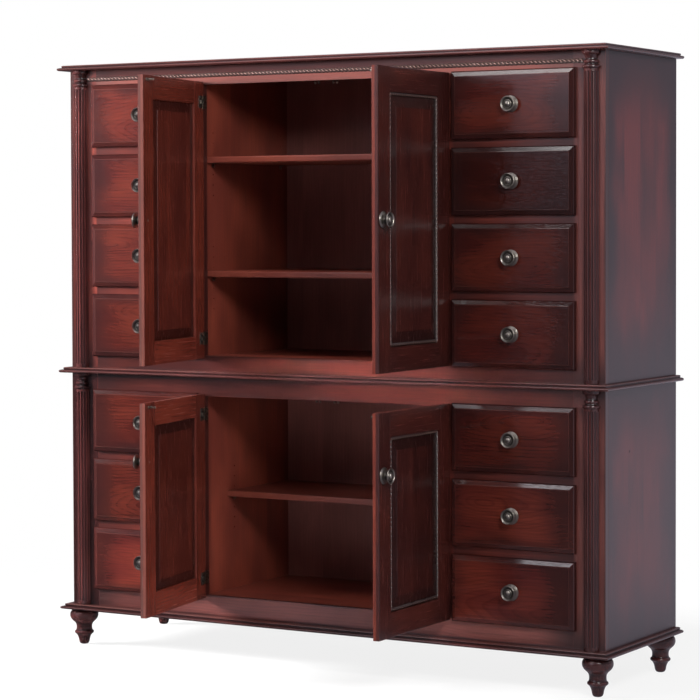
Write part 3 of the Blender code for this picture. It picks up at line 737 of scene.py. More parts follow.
def sided(hand, xs, ys, zs):
    """Two corners of a board; its places along X are given for the right side, where hand is 1."""
    x0, x1 = sorted((hand * xs[0], hand * xs[1]))
    return (x0, ys[0], zs[0]), (x1, ys[1], zs[1])


# %% [markdown]
# ## Sizes read from the frame
# The CAD boxes say where each case, drawer and shelf is, and the joints say where each door turns.
# Only the thicknesses that a box can't tell are written here again.

# %% Measure the frame
GAP = 0.0003             # between glued or resting pieces
FRAME_THICKNESS = 0.020
PANEL = 0.018
OVERLAY = 0.010          # drawer fronts and doors lap over the frame
BACK_PANEL = 0.006
RAIL_GAP = 0.022         # between two drawer fronts
ROWS = {"upper": 4, "lower": 3}
HANDS = {"left": -1, "right": 1}
JOINTS = {joint["name"]: joint for joint in frame["joints"]}

case_low, case_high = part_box("upper_case")
HALF_WIDTH = case_high.x
FACE_Y = case_low.y - GAP - FRAME_THICKNESS
CASE_FRONT = case_low.y
BACK_Y = case_high.y
CASE_BACK = BACK_Y - BACK_PANEL - GAP
front_low, front_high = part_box("drawer_upper_right_1")
BAY_INNER = front_low.x + OVERLAY
BAY_OUTER = front_high.x - OVERLAY
AXIS = Vector(JOINTS["hinge_upper_right"]["pos_m"])
AXIS_FROM_EDGE = 0.006
CUPBOARD_HALF = AXIS.x + AXIS_FROM_EDGE - OVERLAY
PARTITION_INNER = CUPBOARD_HALF + 0.007
PARTITION_OUTER = PARTITION_INNER + PANEL
SIDE_INNER = HALF_WIDTH - PANEL


def heights(tier):
    """Bottom, cupboard floor, cupboard ceiling and top of one case."""
    low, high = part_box(f"{tier}_case")
    floor_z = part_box(f"drawer_{tier}_right_{ROWS[tier]}")[0].z + OVERLAY
    ceiling_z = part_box(f"drawer_{tier}_right_1")[1].z - OVERLAY
    return low.z, floor_z, ceiling_z, high.z


print("front face at y =", round(FACE_Y, 4))
print("heights:", {tier: [round(z, 3) for z in heights(tier)] for tier in ROWS})

# %% [markdown]
# ## Hollows
# A moulded or turned piece is made darker in its grooves. On an outline, a point lies in a hollow
# when the line between its neighbours on both sides passes outside it. That distance is kept as one
# more note.

# %% Find the hollows of an outline
def hollows(outline, reach, depth):
    """For each point of an outline, 0 on a crest to 1 at the bottom of a groove this deep."""
    line = np.array(outline, float)
    run = np.concatenate(([0], np.cumsum(np.linalg.norm(np.diff(line, axis=0), axis=1))))

    def at(distance):
        return np.column_stack([np.interp(distance, run, line[:, k]) for k in (0, 1)])

    ahead, behind = at(run + reach), at(run - reach)
    way = ahead - behind
    way /= np.maximum(np.linalg.norm(way, axis=1), 1e-9)[:, None]
    outward = np.column_stack((way[:, 1], -way[:, 0]))
    sunk = np.einsum("ij,ij->i", (ahead + behind) / 2 - line, outward)
    return np.clip(sunk / depth, 0, 1)


# %% [markdown]
# ## Moulded boards
# A wide board with an ogee lip and a step runs round the base, the waist and the top. On a router
# table the profile is cut along three edges. Here a flat rectangle is extruded up step by step and
# scaled about the middle of its back edge, so the back stays flat and the corners stay mitred.

# %% Base, waist and top boards
STEP_SETBACK = 0.012
# height as a share of the thickness, setback from the lip as a share of STEP_SETBACK
BOARD_OUTLINE = (
    (0.00, 0.38), (0.05, 0.20), (0.13, 0.07), (0.22, 0.01), (0.32, 0.00), (0.40, 0.04), (0.46, 0.13),
    (0.50, 0.27), (0.535, 0.46), (0.56, 0.62), (0.575, 0.80), (0.58, 0.93), (0.60, 0.97), (0.66, 0.97),
    (0.72, 0.90), (0.80, 0.87), (0.88, 0.90), (0.94, 0.98), (0.98, 1.12), (1.00, 1.32),
)
BOARD_LIGHT_AND_SHADE = (-0.55, 0.15)      # painted shade at the left end, a little painted light at the right
# height as a share of the thickness, and how much painted highlight it has there
BOARD_HIGHLIGHTS = ((0.20, 0.0), (0.34, 0.2), (0.45, 0.0), (0.60, 0.0), (0.90, 0.1), (0.98, 0.5), (1.00, 0.1))
GROOVE_REACH = 0.003
GROOVE_DEPTH = 0.0012


def moulded_board(name, node):
    """One moulded board, from the CAD board's own box."""
    low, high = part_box(node)
    thick = high.z - low.z
    long = high.y - low.y
    setback = BOARD_OUTLINE[0][1] * STEP_SETBACK
    let_go()
    bpy.ops.mesh.primitive_plane_add(size=1, location=(0, (low.y + setback + high.y) / 2, low.z))
    bpy.context.object.scale = (2 * (high.x - setback), long - setback, 1)
    piece = fresh(name)
    open_up(piece)
    bpy.ops.mesh.select_mode(type="FACE")
    bpy.ops.mesh.select_all(action="SELECT")
    for (z0, s0), (z1, s1) in zip(BOARD_OUTLINE, BOARD_OUTLINE[1:]):
        bpy.ops.mesh.extrude_region_move(TRANSFORM_OT_translate={"value": (0, 0, (z1 - z0) * thick)})
        shrink = [(size - s1 * STEP_SETBACK) / (size - s0 * STEP_SETBACK) for size in (high.x, long)]
        bpy.ops.transform.resize(value=(*shrink, 1), center_override=(0, high.y, 0))
    face_out(piece)
    lay_grain(piece, "x", "y", 3.0 + 10 * low.z, MOULDING)
    outline = [(-s * STEP_SETBACK, z * thick) for z, s in BOARD_OUTLINE]
    x, _, z = spots_of(piece).T
    rise = z - low.z
    sunk = hollows(outline, GROOVE_REACH, GROOVE_DEPTH)
    keep_note(piece, "dark_and_shade", np.interp(rise, [level for _, level in outline], sunk))
    # painted highlight lines along the profile, and painted shade towards the left end
    keep_note(piece, "painted_light", np.interp(rise / thick, *zip(*BOARD_HIGHLIGHTS)))
    keep_note(piece, "tone", np.interp(x / high.x, (-1, 1), BOARD_LIGHT_AND_SHADE))
    smooth(piece, 32)
    return settle(piece, "carcass", "dark_cherry", node)


for place_name in ("base", "waist", "top"):
    made = moulded_board(f"moulding_{place_name}", f"{place_name}_board")
    print(made.name, len(made.data.polygons), "faces")


# %% [markdown]
# ## Turned feet
# A foot is turned on a lathe: a fat bulb under the board, a neck, a ring and a tapered toe. The
# natural way is to draw half of its outline and spin it round its axis. The outline is a smooth
# curve through a few measured points, and a point given twice makes a corner.

# %% A lathe
def flowing(points, steps=4):
    """More points on a smooth curve through the given ones; a doubled point stays a corner."""
    points = [Vector(point) for point in points]
    line = [points[0]]
    for i in range(len(points) - 1):
        before = points[max(i - 1, 0)]
        start, end = points[i], points[i + 1]
        after = points[min(i + 2, len(points) - 1)]
        if (end - start).length < 1e-9:
            continue
        for step in range(1, steps + 1):
            t = step / steps
            line.append(0.5 * (2 * start + (end - before) * t
                               + (2 * before - 5 * start + 4 * end - after) * t * t
                               + (3 * start - before - 3 * end + after) * t ** 3))
    return [(max(spot.x, 0.0), spot.y) for spot in line]


def turned(name, outline, turns):
    """Spin an outline of radius and height pairs about the Z axis, and note its hollows."""
    let_go()
    bpy.ops.mesh.primitive_plane_add(size=0.01)
    piece = fresh(name)
    open_up(piece)
    bpy.ops.mesh.select_mode(type="VERT")
    bpy.ops.mesh.select_all(action="SELECT")
    bpy.ops.mesh.merge(type="CENTER")
    bpy.ops.transform.translate(value=(outline[0][0], 0, outline[0][1]))
    for (r0, z0), (r1, z1) in zip(outline, outline[1:]):
        bpy.ops.mesh.extrude_region_move(TRANSFORM_OT_translate={"value": (r1 - r0, 0, z1 - z0)})
    bpy.ops.mesh.select_all(action="SELECT")
    bpy.ops.mesh.spin(steps=turns, angle=2 * math.pi, center=(0, 0, 0), axis=(0, 0, 1))
    bpy.ops.mesh.select_all(action="SELECT")
    bpy.ops.mesh.remove_doubles(threshold=1e-6)
    face_out(piece)
    size = max(r for r, _ in outline)
    sunk = hollows(outline, 0.16 * size, 0.05 * size)
    spots = spots_of(piece)
    on_line = np.column_stack((np.linalg.norm(spots[:, :2], axis=1), spots[:, 2]))
    nearest = ((on_line[:, None] - np.array(outline)[None]) ** 2).sum(2).argmin(1)
    keep_note(piece, "dark_and_shade", sunk[nearest])
    smooth(piece, 45)
    return piece


def scaled(points, radius, height):
    """Shares of a radius and a height as sizes."""
    return [(r * radius, z * height) for r, z in points]


# %% Four turned feet
FOOT_RADIUS = 0.0447
# radius and height as shares of the foot's own, toe to top
FOOT_OUTLINE = (
    (0.00, 0.000), (0.17, 0.004), (0.28, 0.022), (0.345, 0.060), (0.375, 0.105), (0.395, 0.150),
    (0.43, 0.200), (0.49, 0.250), (0.56, 0.290), (0.56, 0.290), (0.60, 0.300), (0.655, 0.318),
    (0.675, 0.345), (0.655, 0.372), (0.60, 0.390), (0.58, 0.396), (0.58, 0.396), (0.555, 0.440),
    (0.550, 0.500), (0.575, 0.560), (0.66, 0.615), (0.80, 0.665), (0.92, 0.720), (0.985, 0.780),
    (1.00, 0.835), (0.975, 0.890), (0.90, 0.940), (0.80, 0.972), (0.72, 0.985), (0.72, 0.985),
    (0.72, 1.000), (0.72, 1.000), (0.00, 1.000),
)

foot_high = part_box("foot_front_left")[1]
lathe_foot = turned("lathe_foot", scaled(flowing(FOOT_OUTLINE, 3), FOOT_RADIUS, foot_high.z), 48)
lay_grain(lathe_foot, "z", "x", 1.0, MOULDING)
for row in ("front", "back"):
    for hand in HANDS:
        node = f"foot_{row}_{hand}"
        low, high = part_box(node)
        spot = ((low.x + high.x) / 2, (low.y + high.y) / 2, 0)
        foot = set_down(copy_of(lathe_foot, f"turned_{node}"), spot)
        shift_seed(foot, 7.0 * low.x + 3.0 * low.y)
        settle(foot, "carcass", "dark_cherry", node)
bpy.data.objects.remove(lathe_foot)
print("four feet,", len(foot.data.polygons), "faces each")

# %% [markdown]
# ## Cases
# Each case is glued up from boards: two side panels, two partitions, a floor, and runners that the
# drawers slide on. The partitions have rows of small holes for the shelf pins, bored with a
# Boolean, as a drill would. The side panels show most, so they get their own darker finish.

# %% Pin positions
PIN_INSET = 0.040
PIN_DROP = 0.003
HOLE_SPACING = 0.032
HOLE_RADIUS = 0.0026
HOLE_DEPTH = 0.009
SHELVES = {"upper": ("shelf_upper_high", "shelf_upper_low"), "lower": ("shelf_lower",)}


def pin_spots(tier):
    """Depth and height of each shelf pin on one partition."""
    spots = []
    for node in SHELVES[tier]:
        low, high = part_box(node)
        for y in (low.y + PIN_INSET, CASE_BACK - PIN_INSET):
            spots.append((y, low.z - GAP - PIN_DROP))
    return spots


def drill_bits(tier, hand):
    """Rods where the pin holes go, as one cutter."""
    rods = []
    for y, z in pin_spots(tier):
        for step in (-3, -2, -1, 1, 2, 3):
            let_go()
            place = (hand * PARTITION_INNER, y, z + step * HOLE_SPACING)
            bpy.ops.mesh.primitive_cylinder_add(vertices=12, radius=HOLE_RADIUS, depth=2 * HOLE_DEPTH,
                                                location=place, rotation=(0, math.pi / 2, 0))
            rods.append(bpy.context.object)
    return joined("drill_bits", rods)


# %% Glue up the cases
RUNNER_RISE = 0.006
RUNNER_HEIGHT = 0.018
RUNNER_REACH = 0.018
SIDE_EASE = 0.0005
RUNNER_EASE = 0.0008
# painted shade on the left side panels
SIDE_SHADE = {"left": -0.80, "right": 0.0}
CASE_YS = (CASE_FRONT, CASE_BACK)
LEDGES = ((BAY_OUTER - RUNNER_REACH, SIDE_INNER), (PARTITION_OUTER, BAY_INNER + RUNNER_REACH))


def glued_case(tier):
    """Panels, floor and runners of one case as two objects: the sides and the inside."""
    z0, floor_z, _, z1 = heights(tier)
    floor_zs = (floor_z - PANEL, floor_z)
    sides, inside = [], []
    for word, hand in HANDS.items():
        seed = 20 + 5 * hand + z0
        corners = sided(hand, (SIDE_INNER, HALF_WIDTH), (CASE_FRONT, BACK_Y), (z0, z1))
        panel = board(f"side_{tier}_{word}", *corners, SIDE_EASE)
        sides.append(lay_grain(panel, "z", "y", seed, SIDE_CHERRY))
        keep_note(panel, "tone", SIDE_SHADE[word])
        corners = sided(hand, (PARTITION_INNER, PARTITION_OUTER), CASE_YS, (z0, z1))
        wall = board(f"partition_{tier}_{word}", *corners)
        carve(wall, drill_bits(tier, hand))
        inside.append(lay_grain(wall, "z", "y", seed + 1.7, INSIDE))
        bay_floor = board("bay_floor", *sided(hand, (PARTITION_OUTER, SIDE_INNER), CASE_YS, floor_zs))
        inside.append(lay_grain(bay_floor, "x", "y", seed + 2.9, INSIDE))
        for row in range(1, ROWS[tier] + 1):
            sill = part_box(f"drawer_{tier}_{word}_{row}")[0].z + OVERLAY + RUNNER_RISE
            for ledge in LEDGES:
                corners = sided(hand, ledge, CASE_YS, (sill - RUNNER_HEIGHT, sill))
                runner = board("runner", *corners, RUNNER_EASE)
                inside.append(lay_grain(runner, "y", "x", seed + row, INSIDE))
    middle = board("cupboard_floor", *sided(1, (-PARTITION_INNER, PARTITION_INNER), CASE_YS, floor_zs))
    inside.append(lay_grain(middle, "x", "y", 31 + z0, INSIDE))
    settle(joined(f"side_panels_{tier}", sides), "carcass", "dark_cherry")
    return settle(joined(f"carcass_{tier}", inside), "carcass", "inside_cherry", f"{tier}_case")


for tier in ROWS:
    made = glued_case(tier)
    print(made.name, len(made.data.polygons), "faces")

# %% [markdown]
# ## Back panels and shelves
# A thin panel closes the back of each case between the side panels, held by small screws. The
# shelves are loose boards with a rounded front edge.

# %% Screws
SCREW_RADIUS = 0.0038
SCREW_RISE = 0.0014
# radius and height as shares: a low domed head with a drive socket
SCREW_OUTLINE = (
    (0.00, -0.35), (0.22, -0.35), (0.22, -0.35), (0.26, 0.70), (0.26, 0.70), (0.50, 1.00), (0.78, 0.80),
    (0.95, 0.40), (1.00, 0.00), (1.00, 0.00),
)
lathe_screw = turned("lathe_screw", scaled(flowing(SCREW_OUTLINE, 2), SCREW_RADIUS, SCREW_RISE), 14)
lathe_screw.data.materials.append(NICKEL)


def screw(place, turn):
    """One screw head on a surface; the turn brings its Z axis out of the surface."""
    return set_down(copy_of(lathe_screw, "screw"), place, turn)


TO_FRONT = (math.pi / 2, 0, 0)
TO_BACK = (-math.pi / 2, 0, 0)
TO_RIGHT = (0, math.pi / 2, 0)
TO_LEFT = (0, -math.pi / 2, 0)

# %% Back panels
BACK_EASE = 0.0004
SCREWS_ACROSS = 6
SCREW_INSET = 0.012
BACK_SINK = 0.0006       # how deep a screw head sits in the panel

for tier in ROWS:
    low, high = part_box(f"{tier}_back")
    panel = lay_grain(board(f"back_panel_{tier}", low, high, BACK_EASE), "z", "x", 44 + low.z, BACK_CHERRY)
    settle(panel, "carcass", "inside_cherry", f"{tier}_back")
    heads = []
    for step in range(SCREWS_ACROSS):
        x = low.x + SCREW_INSET + (high.x - low.x - 2 * SCREW_INSET) * step / (SCREWS_ACROSS - 1)
        for z in (low.z + SCREW_INSET, (low.z + high.z) / 2, high.z - SCREW_INSET):
            heads.append(screw((x, high.y - BACK_SINK, z), TO_BACK))
    settle(joined(f"back_screws_{tier}", heads), "carcass", "nickel")
    print(panel.name, "with", len(heads), "screws")

# %% Shelves
NOSE = 0.004
# painted light: the upper high shelf is made lighter
SHELF_LIGHT = {"shelf_upper_high": 0.35, "shelf_upper_low": 0.0, "shelf_lower": 0.0}

for node, tone in SHELF_LIGHT.items():
    low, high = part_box(node)
    shelf = board(f"loose_{node}", low, high)
    open_up(shelf)
    pick("EDGE", lambda edge: all(vertex.co.y < low.y + 1e-4 for vertex in edge.verts)
         and abs(edge.verts[0].co.x - edge.verts[1].co.x) > 0.1)
    bpy.ops.mesh.bevel(offset=NOSE, segments=4, affect="EDGES")
    let_go()
    lay_grain(shelf, "x", "y", 52 + 3 * low.z, INSIDE)
    keep_note(shelf, "tone", tone)
    settle(shelf, "carcass", "red_cherry", node)
    print(shelf.name, len(shelf.data.polygons), "faces")

# %% [markdown]
# ## Shelf supports
# Each shelf rests on four nickel supports that plug into the holes: a pin in the wall, a small
# upright plate, and a ledge under the shelf.

# %% Shelf supports
SUPPORT_WIDTH = 0.013
SUPPORT_HEIGHT = 0.012
SUPPORT_REACH = 0.010
SUPPORT_GAUGE = 0.0016
SUPPORT_SCREW = 0.62     # drop of the screw as a share of the height
METAL_EASE = 0.0004

for tier in ROWS:
    parts = []
    for hand in HANDS.values():
        for y, z in pin_spots(tier):
            top = z + PIN_DROP
            ys = (y - SUPPORT_WIDTH / 2, y + SUPPORT_WIDTH / 2)
            for name, reach, drop in (("plate", SUPPORT_GAUGE, SUPPORT_HEIGHT),
                                      ("ledge", SUPPORT_REACH, SUPPORT_GAUGE)):
                corners = sided(hand, (PARTITION_INNER, PARTITION_INNER - reach), ys, (top - drop, top))
                parts.append(board(name, *corners, METAL_EASE))
            place = (hand * (PARTITION_INNER - SUPPORT_GAUGE), y, top - SUPPORT_HEIGHT * SUPPORT_SCREW)
            parts.append(screw(place, TO_LEFT if hand > 0 else TO_RIGHT))
    supports = coat(joined(f"shelf_supports_{tier}", parts), NICKEL)
    settle(supports, "carcass", "nickel")
    print(supports.name, len(supports.data.polygons), "faces")

# %% [markdown]
# ## Face frames
# Stiles and rails are glued edge to end in front of each case. Each is its own board, so the grain
# runs up the stiles and along the rails, and the eased arrises leave a fine line at every joint.

# %% Face frames
FRAME_EASE = 0.0002
LIP_SHADE = 0.92         # painted shadow right under a board
LIP_REACH = {"upper": 0.036, "lower": 0.012}
LIP_SHARE = 0.8          # share of the shade that is reached just above the lip's end
UNDER_ROPE_LIGHT = 0.35        # painted light on the strip below the rope
END_SHADE = 0.45         # painted shade at the left end of the lowest rail
END_PLACES = (-BAY_OUTER, -0.42, -0.15)
BASE_TONE = 0.25         # how much lighter that rail is
# how much lighter or darker the stiles are painted, from their left edge to their right: painted light and
# shade
STILE_LIGHT_AND_SHADE = {"upper_left": (-0.85, 0.90), "lower_left": (-0.75, -0.35),
               "upper_right": (-0.15, -0.15), "lower_right": (-0.20, -0.20)}
# painted light and shade along the rails above and under the waist board, in the same way
RAIL_LIGHT_AND_SHADE = {"upper": ((-0.40, -0.10, 0.40, 0.47), (-0.55, 0.0, 0.0, -0.40)),
              "lower": ((-0.80, -0.52, -0.40, 0.06, 0.50), (-0.65, -0.35, -0.78, -0.62, -0.30))}


def shade_by_place(piece, note, way, places, values):
    """Keep a note that follows the place along X or Z: cuts at the places hold its values there."""
    open_up(piece)
    for place in places:
        bpy.ops.mesh.select_all(action="SELECT")
        bpy.ops.mesh.bisect(plane_co=(place, 0, place), plane_no=(way == "x", 0, way == "z"))
    let_go()
    keep_note(piece, note, np.interp(spots_of(piece)[:, WAYS[way]], places, values))


for tier in ROWS:
    z0, floor_z, ceiling_z, z1 = heights(tier)
    boards = []

    def rail(hand, xs, zs, along, seed, finish=FRAME_CHERRY):
        """A stile or rail of the frame."""
        piece = board("rail", *sided(hand, xs, (FACE_Y, FACE_Y + FRAME_THICKNESS), zs), FRAME_EASE)
        boards.append(lay_grain(piece, along, "x" if along == "z" else "z", seed, finish))
        return piece

    for word, hand in HANDS.items():
        finish = STILE_CHERRY if hand > 0 else (FRAME_CHERRY if tier == "upper" else MOULDING)
        stile = rail(hand, (BAY_OUTER, HALF_WIDTH), (z0, z1), "z", 60 + hand + z0, finish)
        ends = sorted((hand * BAY_OUTER, hand * HALF_WIDTH))
        shade_by_place(stile, "tone", "x", ends, STILE_LIGHT_AND_SHADE[f"{tier}_{word}"])
        rail(hand, (CUPBOARD_HALF, BAY_INNER), (floor_z, ceiling_z), "z", 64 + hand + z0)
        for row in range(1, ROWS[tier]):
            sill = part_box(f"drawer_{tier}_{word}_{row}")[0].z
            zs = (sill - RAIL_GAP - OVERLAY, sill + OVERLAY)
            rail(hand, (BAY_INNER, BAY_OUTER), zs, "x", 70 + 2 * hand + row)
    finish = FRAME_CHERRY if tier == "upper" else STILE_CHERRY
    bottom = rail(1, (-BAY_OUTER, BAY_OUTER), (z0, floor_z), "x", 85 + z0, finish)
    top = rail(1, (-BAY_OUTER, BAY_OUTER), (ceiling_z, z1), "x", 81 + z0)
    # painted shadow under the board above, painted light below the rope, painted light and shade along the
    # rails
    lip = (z1 - LIP_REACH[tier], z1 - LIP_SHARE * LIP_REACH[tier], z1)
    shade_by_place(top, "dark_and_shade", "z", lip, (0, LIP_SHARE * LIP_SHADE, LIP_SHADE))
    if tier == "upper":
        shade_by_place(top, "painted_light", "z", lip, (UNDER_ROPE_LIGHT, 0, 0))
        shade_by_place(bottom, "tone", "x", *RAIL_LIGHT_AND_SHADE[tier])
    else:
        shade_by_place(bottom, "dark_and_shade", "x", END_PLACES, (END_SHADE, END_SHADE, 0))
        shade_by_place(top, "tone", "x", *RAIL_LIGHT_AND_SHADE[tier])
        keep_note(bottom, "tone", BASE_TONE)
    made = settle(joined(f"front_frame_{tier}", boards), "carcass", "dark_cherry", f"{tier}_frame")
    print(made.name, len(boards), "boards")

# %% [markdown]
# ## Fluted half columns
# At each front corner stands a half column with seven hollow flutes. A router with a round bit cuts
# them, and leaves a rounded end. The same is done here: a cylinder is sliced in half, and stretched
# spheres, which are rods with round ends, are cut out of it.

# %% Fluted columns
COLUMN_RADIUS = 0.0225
COLUMN_X = 0.882
COLUMN_SINK = 0.004      # how deep the flat back sits in the stile
CAPITAL_HEIGHT = 0.052
CAPITAL_RADIUS = 0.027
FLUTES = 7
FLUTE_DEPTH = 0.0026
FLUTE_BIT = 0.0039
FLUTE_STOP = 0.010
FLUTE_ARRIS = 0.0006     # this far below the crest a flute begins to darken
COLUMN_LIGHT_AND_SHADE = (1.1, -0.8)    # painted light and shade: the left columns are lighter towards the drawers, darker outside


def flute_bits(low_z, high_z):
    """Seven rods with round ends, where the flutes go."""
    rods = []
    reach = COLUMN_RADIUS - FLUTE_DEPTH + FLUTE_BIT
    for i in range(FLUTES):
        angle = math.pi * (1 + (i + 0.5) / FLUTES)
        place = (reach * math.cos(angle), reach * math.sin(angle), low_z + FLUTE_BIT)
        let_go()
        bpy.ops.mesh.primitive_uv_sphere_add(segments=16, ring_count=8, radius=FLUTE_BIT, location=place)
        rods.append(fresh("flute_bit"))
        open_up(rods[-1])
        pick("VERT", lambda vertex: vertex.co.z > low_z + FLUTE_BIT - 1e-6)
        bpy.ops.transform.translate(value=(0, 0, high_z - low_z - 2 * FLUTE_BIT))
    return joined("flute_bits", rods)


for tier in ROWS:
    z0, _, _, z1 = heights(tier)
    top = z1 - GAP - CAPITAL_HEIGHT
    let_go()
    bpy.ops.mesh.primitive_cylinder_add(vertices=72, radius=COLUMN_RADIUS, depth=top - z0 - GAP,
                                        location=(0, 0, (top + z0 + GAP) / 2))
    shaft = fresh("shaft")
    slice_off(shaft, (0, COLUMN_SINK, 0), (0, 1, 0))
    carve(shaft, flute_bits(z0 + GAP + FLUTE_STOP, top - FLUTE_STOP / 2))
    lay_grain(shaft, "z", "x", 90 + z0, MOULDING)
    sunk = COLUMN_RADIUS - FLUTE_ARRIS - np.linalg.norm(spots_of(shaft)[:, :2], axis=1)
    keep_note(shaft, "dark_and_shade", np.clip(sunk / FLUTE_DEPTH, 0, 1))
    smooth(shaft, 30)
    for word, hand in HANDS.items():
        column = set_down(copy_of(shaft, f"column_{tier}_{word}"), (hand * COLUMN_X, FACE_Y, 0))
        shift_seed(column, 2 + hand)
        if hand < 0:
            outward = (-spots_of(column)[:, 0] - COLUMN_X) / COLUMN_RADIUS
            keep_note(column, "tone", np.interp(outward, (-1, 1), COLUMN_LIGHT_AND_SHADE))
        settle(column, "carcass", "dark_cherry")
    bpy.data.objects.remove(shaft)
    print("columns of the", tier, "case:", len(column.data.polygons), "faces each")

# %% [markdown]
# ## Capitals
# Each column ends in a turned capital: a ring over the flutes, a bead on a narrow neck, and a bell
# that opens to a flat disc under the board. It is spun like a foot and sliced in half like a column.

# %% Capitals
# radius and height as shares of the capital's own, flutes to top
CAPITAL_OUTLINE = (
    (0.00, 0.000), (0.84, 0.000), (0.84, 0.000), (0.86, 0.030), (0.93, 0.045), (0.985, 0.080),
    (1.00, 0.125), (0.985, 0.170), (0.93, 0.205), (0.80, 0.225), (0.80, 0.225), (0.76, 0.250),
    (0.74, 0.280), (0.76, 0.300), (0.815, 0.330), (0.845, 0.385), (0.825, 0.440), (0.76, 0.475),
    (0.68, 0.490), (0.68, 0.490), (0.655, 0.540), (0.66, 0.600), (0.69, 0.660), (0.755, 0.725),
    (0.85, 0.780), (0.93, 0.810), (0.93, 0.810), (0.985, 0.830), (1.00, 0.870), (1.00, 0.870),
    (1.00, 1.000), (1.00, 1.000), (0.00, 1.000),
)
# painted shade on the left capitals
CAPITAL_SHADE = {"left": -0.40, "right": 0.0}

capital = turned("lathe_capital", scaled(flowing(CAPITAL_OUTLINE, 3), CAPITAL_RADIUS, CAPITAL_HEIGHT), 56)
slice_off(capital, (0, COLUMN_SINK, 0), (0, 1, 0))
lay_grain(capital, "z", "x", 97.0, MOULDING)
for tier in ROWS:
    z1 = heights(tier)[3]
    for word, hand in HANDS.items():
        made = copy_of(capital, f"capital_{tier}_{word}")
        set_down(made, (hand * COLUMN_X, FACE_Y, z1 - GAP - CAPITAL_HEIGHT))
        shift_seed(made, hand + z1)
        keep_note(made, "tone", CAPITAL_SHADE[word])
        settle(made, "carcass", "dark_cherry")
bpy.data.objects.remove(capital)
print("capitals:", len(made.data.polygons), "faces each")

# %% [markdown]
# ## Rope moulding
# A carved rope runs under the top board and round each door panel. A rope is one lobed section that
# turns as it goes along, which is just what the Screw modifier makes. The ends are sliced, square
# or mitred, and the back half, which is sunk in the wood, is sliced away.

# %% A length of rope
ROPE_STRANDS = 4
STRAND_SPACING = 0.0130
STRAND_POINTS = 4
GROOVE_SHARE = 0.50      # radius in the groove between two strands
SHOULDER_SHARE = 0.86    # radius half way from the groove to the crest
ROPE_STEPS = 24
HIGHLIGHT_SHARE = 0.13      # the foremost share of the radius, painted pale as a highlight; the rest is painted shade


def rope(name, length, radius):
    """A twisted rope along X, from the origin."""
    turn = ROPE_STRANDS * STRAND_SPACING
    let_go()
    bpy.ops.mesh.primitive_circle_add(vertices=ROPE_STRANDS * STRAND_POINTS, radius=radius,
                                      rotation=(0, math.pi / 2, 0))
    piece = fresh(name)
    open_up(piece)
    for share, test in ((GROOVE_SHARE, lambda vertex: vertex.index % STRAND_POINTS == 0),
                        (SHOULDER_SHARE, lambda vertex: vertex.index % 2 == 1)):
        pick("VERT", test)
        bpy.ops.transform.resize(value=(1, share, share), center_override=(0, 0, 0))
    bpy.ops.mesh.select_all(action="SELECT")
    bpy.ops.transform.translate(value=(-turn / 2, 0, 0))
    let_go()
    modify(piece, "SCREW", axis="X", angle=2 * math.pi, screw_offset=turn, use_merge_vertices=False,
           iterations=math.ceil(length / turn) + 1, steps=ROPE_STEPS, render_steps=ROPE_STEPS)
    # the strands are painted pale only at the front, as a highlight, and near black behind, as shade
    depths = spots_of(piece)[:, 1]
    keep_note(piece, "dark_and_shade", np.clip((depths + radius) / (HIGHLIGHT_SHARE * radius), 0, 1))
    return piece


# %% Rope under the top board
ROPE_RADIUS = 0.007
ROPE_DROP = 0.028
ROPE_SMOOTH = 50

reach = COLUMN_X - CAPITAL_RADIUS - GAP
strand = rope("rope_under_top", 2 * reach, ROPE_RADIUS)
set_down(strand, (-reach, FACE_Y, heights("upper")[3] - ROPE_DROP))
slice_off(strand, (-reach, 0, 0), (-1, 0, 0))
slice_off(strand, (reach, 0, 0), (1, 0, 0))
slice_off(strand, (0, FACE_Y + COLUMN_SINK / 2, 0), (0, 1, 0))
face_out(strand)
lay_grain(strand, "x", "z", 101.0, ROPE_HIGHLIGHT)
smooth(strand, ROPE_SMOOTH)
settle(strand, "carcass", "dark_cherry")
print("rope:", len(strand.data.polygons), "faces")

# %% [markdown]
# ## Drawers
# A drawer front is a thick board with a wide rounded bevel up to a raised field. In Blender that is a
# cube, a few insets of its front face that also rise, and a short extrusion for the step round the
# field. The box behind is five boards. One drawer is modelled and copied fourteen times.

# %% Drawer front
RIM = 0.010
FRONT_THICKNESS = 0.019
FRONT_STEP = 0.0016
# width and rise of each strip of the rounded bevel, rim to field
BEVEL_STRIPS = ((0.0012, 0.0022), (0.0020, 0.0018), (0.0108, 0.0034))
HIGHLIGHT_WIDTH = 0.0025       # a painted highlight line round the field
FIELD_HIGHLIGHT = 0.14         # how strong it is
FIELD_ROUND = 0.0009
front_size = front_high - front_low

let_go()
bpy.ops.mesh.primitive_cube_add(size=1, location=(0, -RIM / 2, 0), scale=(front_size.x, RIM, front_size.z))
master_front = fresh("master_front")
open_up(master_front)
pick("FACE", lambda face: face.normal.y < -0.9)
for wide, rise in BEVEL_STRIPS:
    bpy.ops.mesh.inset(thickness=wide, depth=rise)
bpy.ops.mesh.extrude_region_move(TRANSFORM_OT_translate={"value": (0, -FRONT_STEP, 0)})
pick("EDGE", lambda edge: all(abs(vertex.co.y + FRONT_THICKNESS) < TOUCH for vertex in edge.verts))
bpy.ops.mesh.bevel(offset=FIELD_ROUND, segments=2, affect="EDGES")
pick("FACE", lambda face: face.normal.y < -0.99 and face.calc_area() > 0.01)
bpy.ops.mesh.inset(thickness=HIGHLIGHT_WIDTH, depth=0)
field_loop = {vertex.index for vertex in bmesh.from_edit_mesh(master_front.data).verts if vertex.select}
let_go()
lay_grain(master_front, "x", "z", 0.0, BURNISHED)
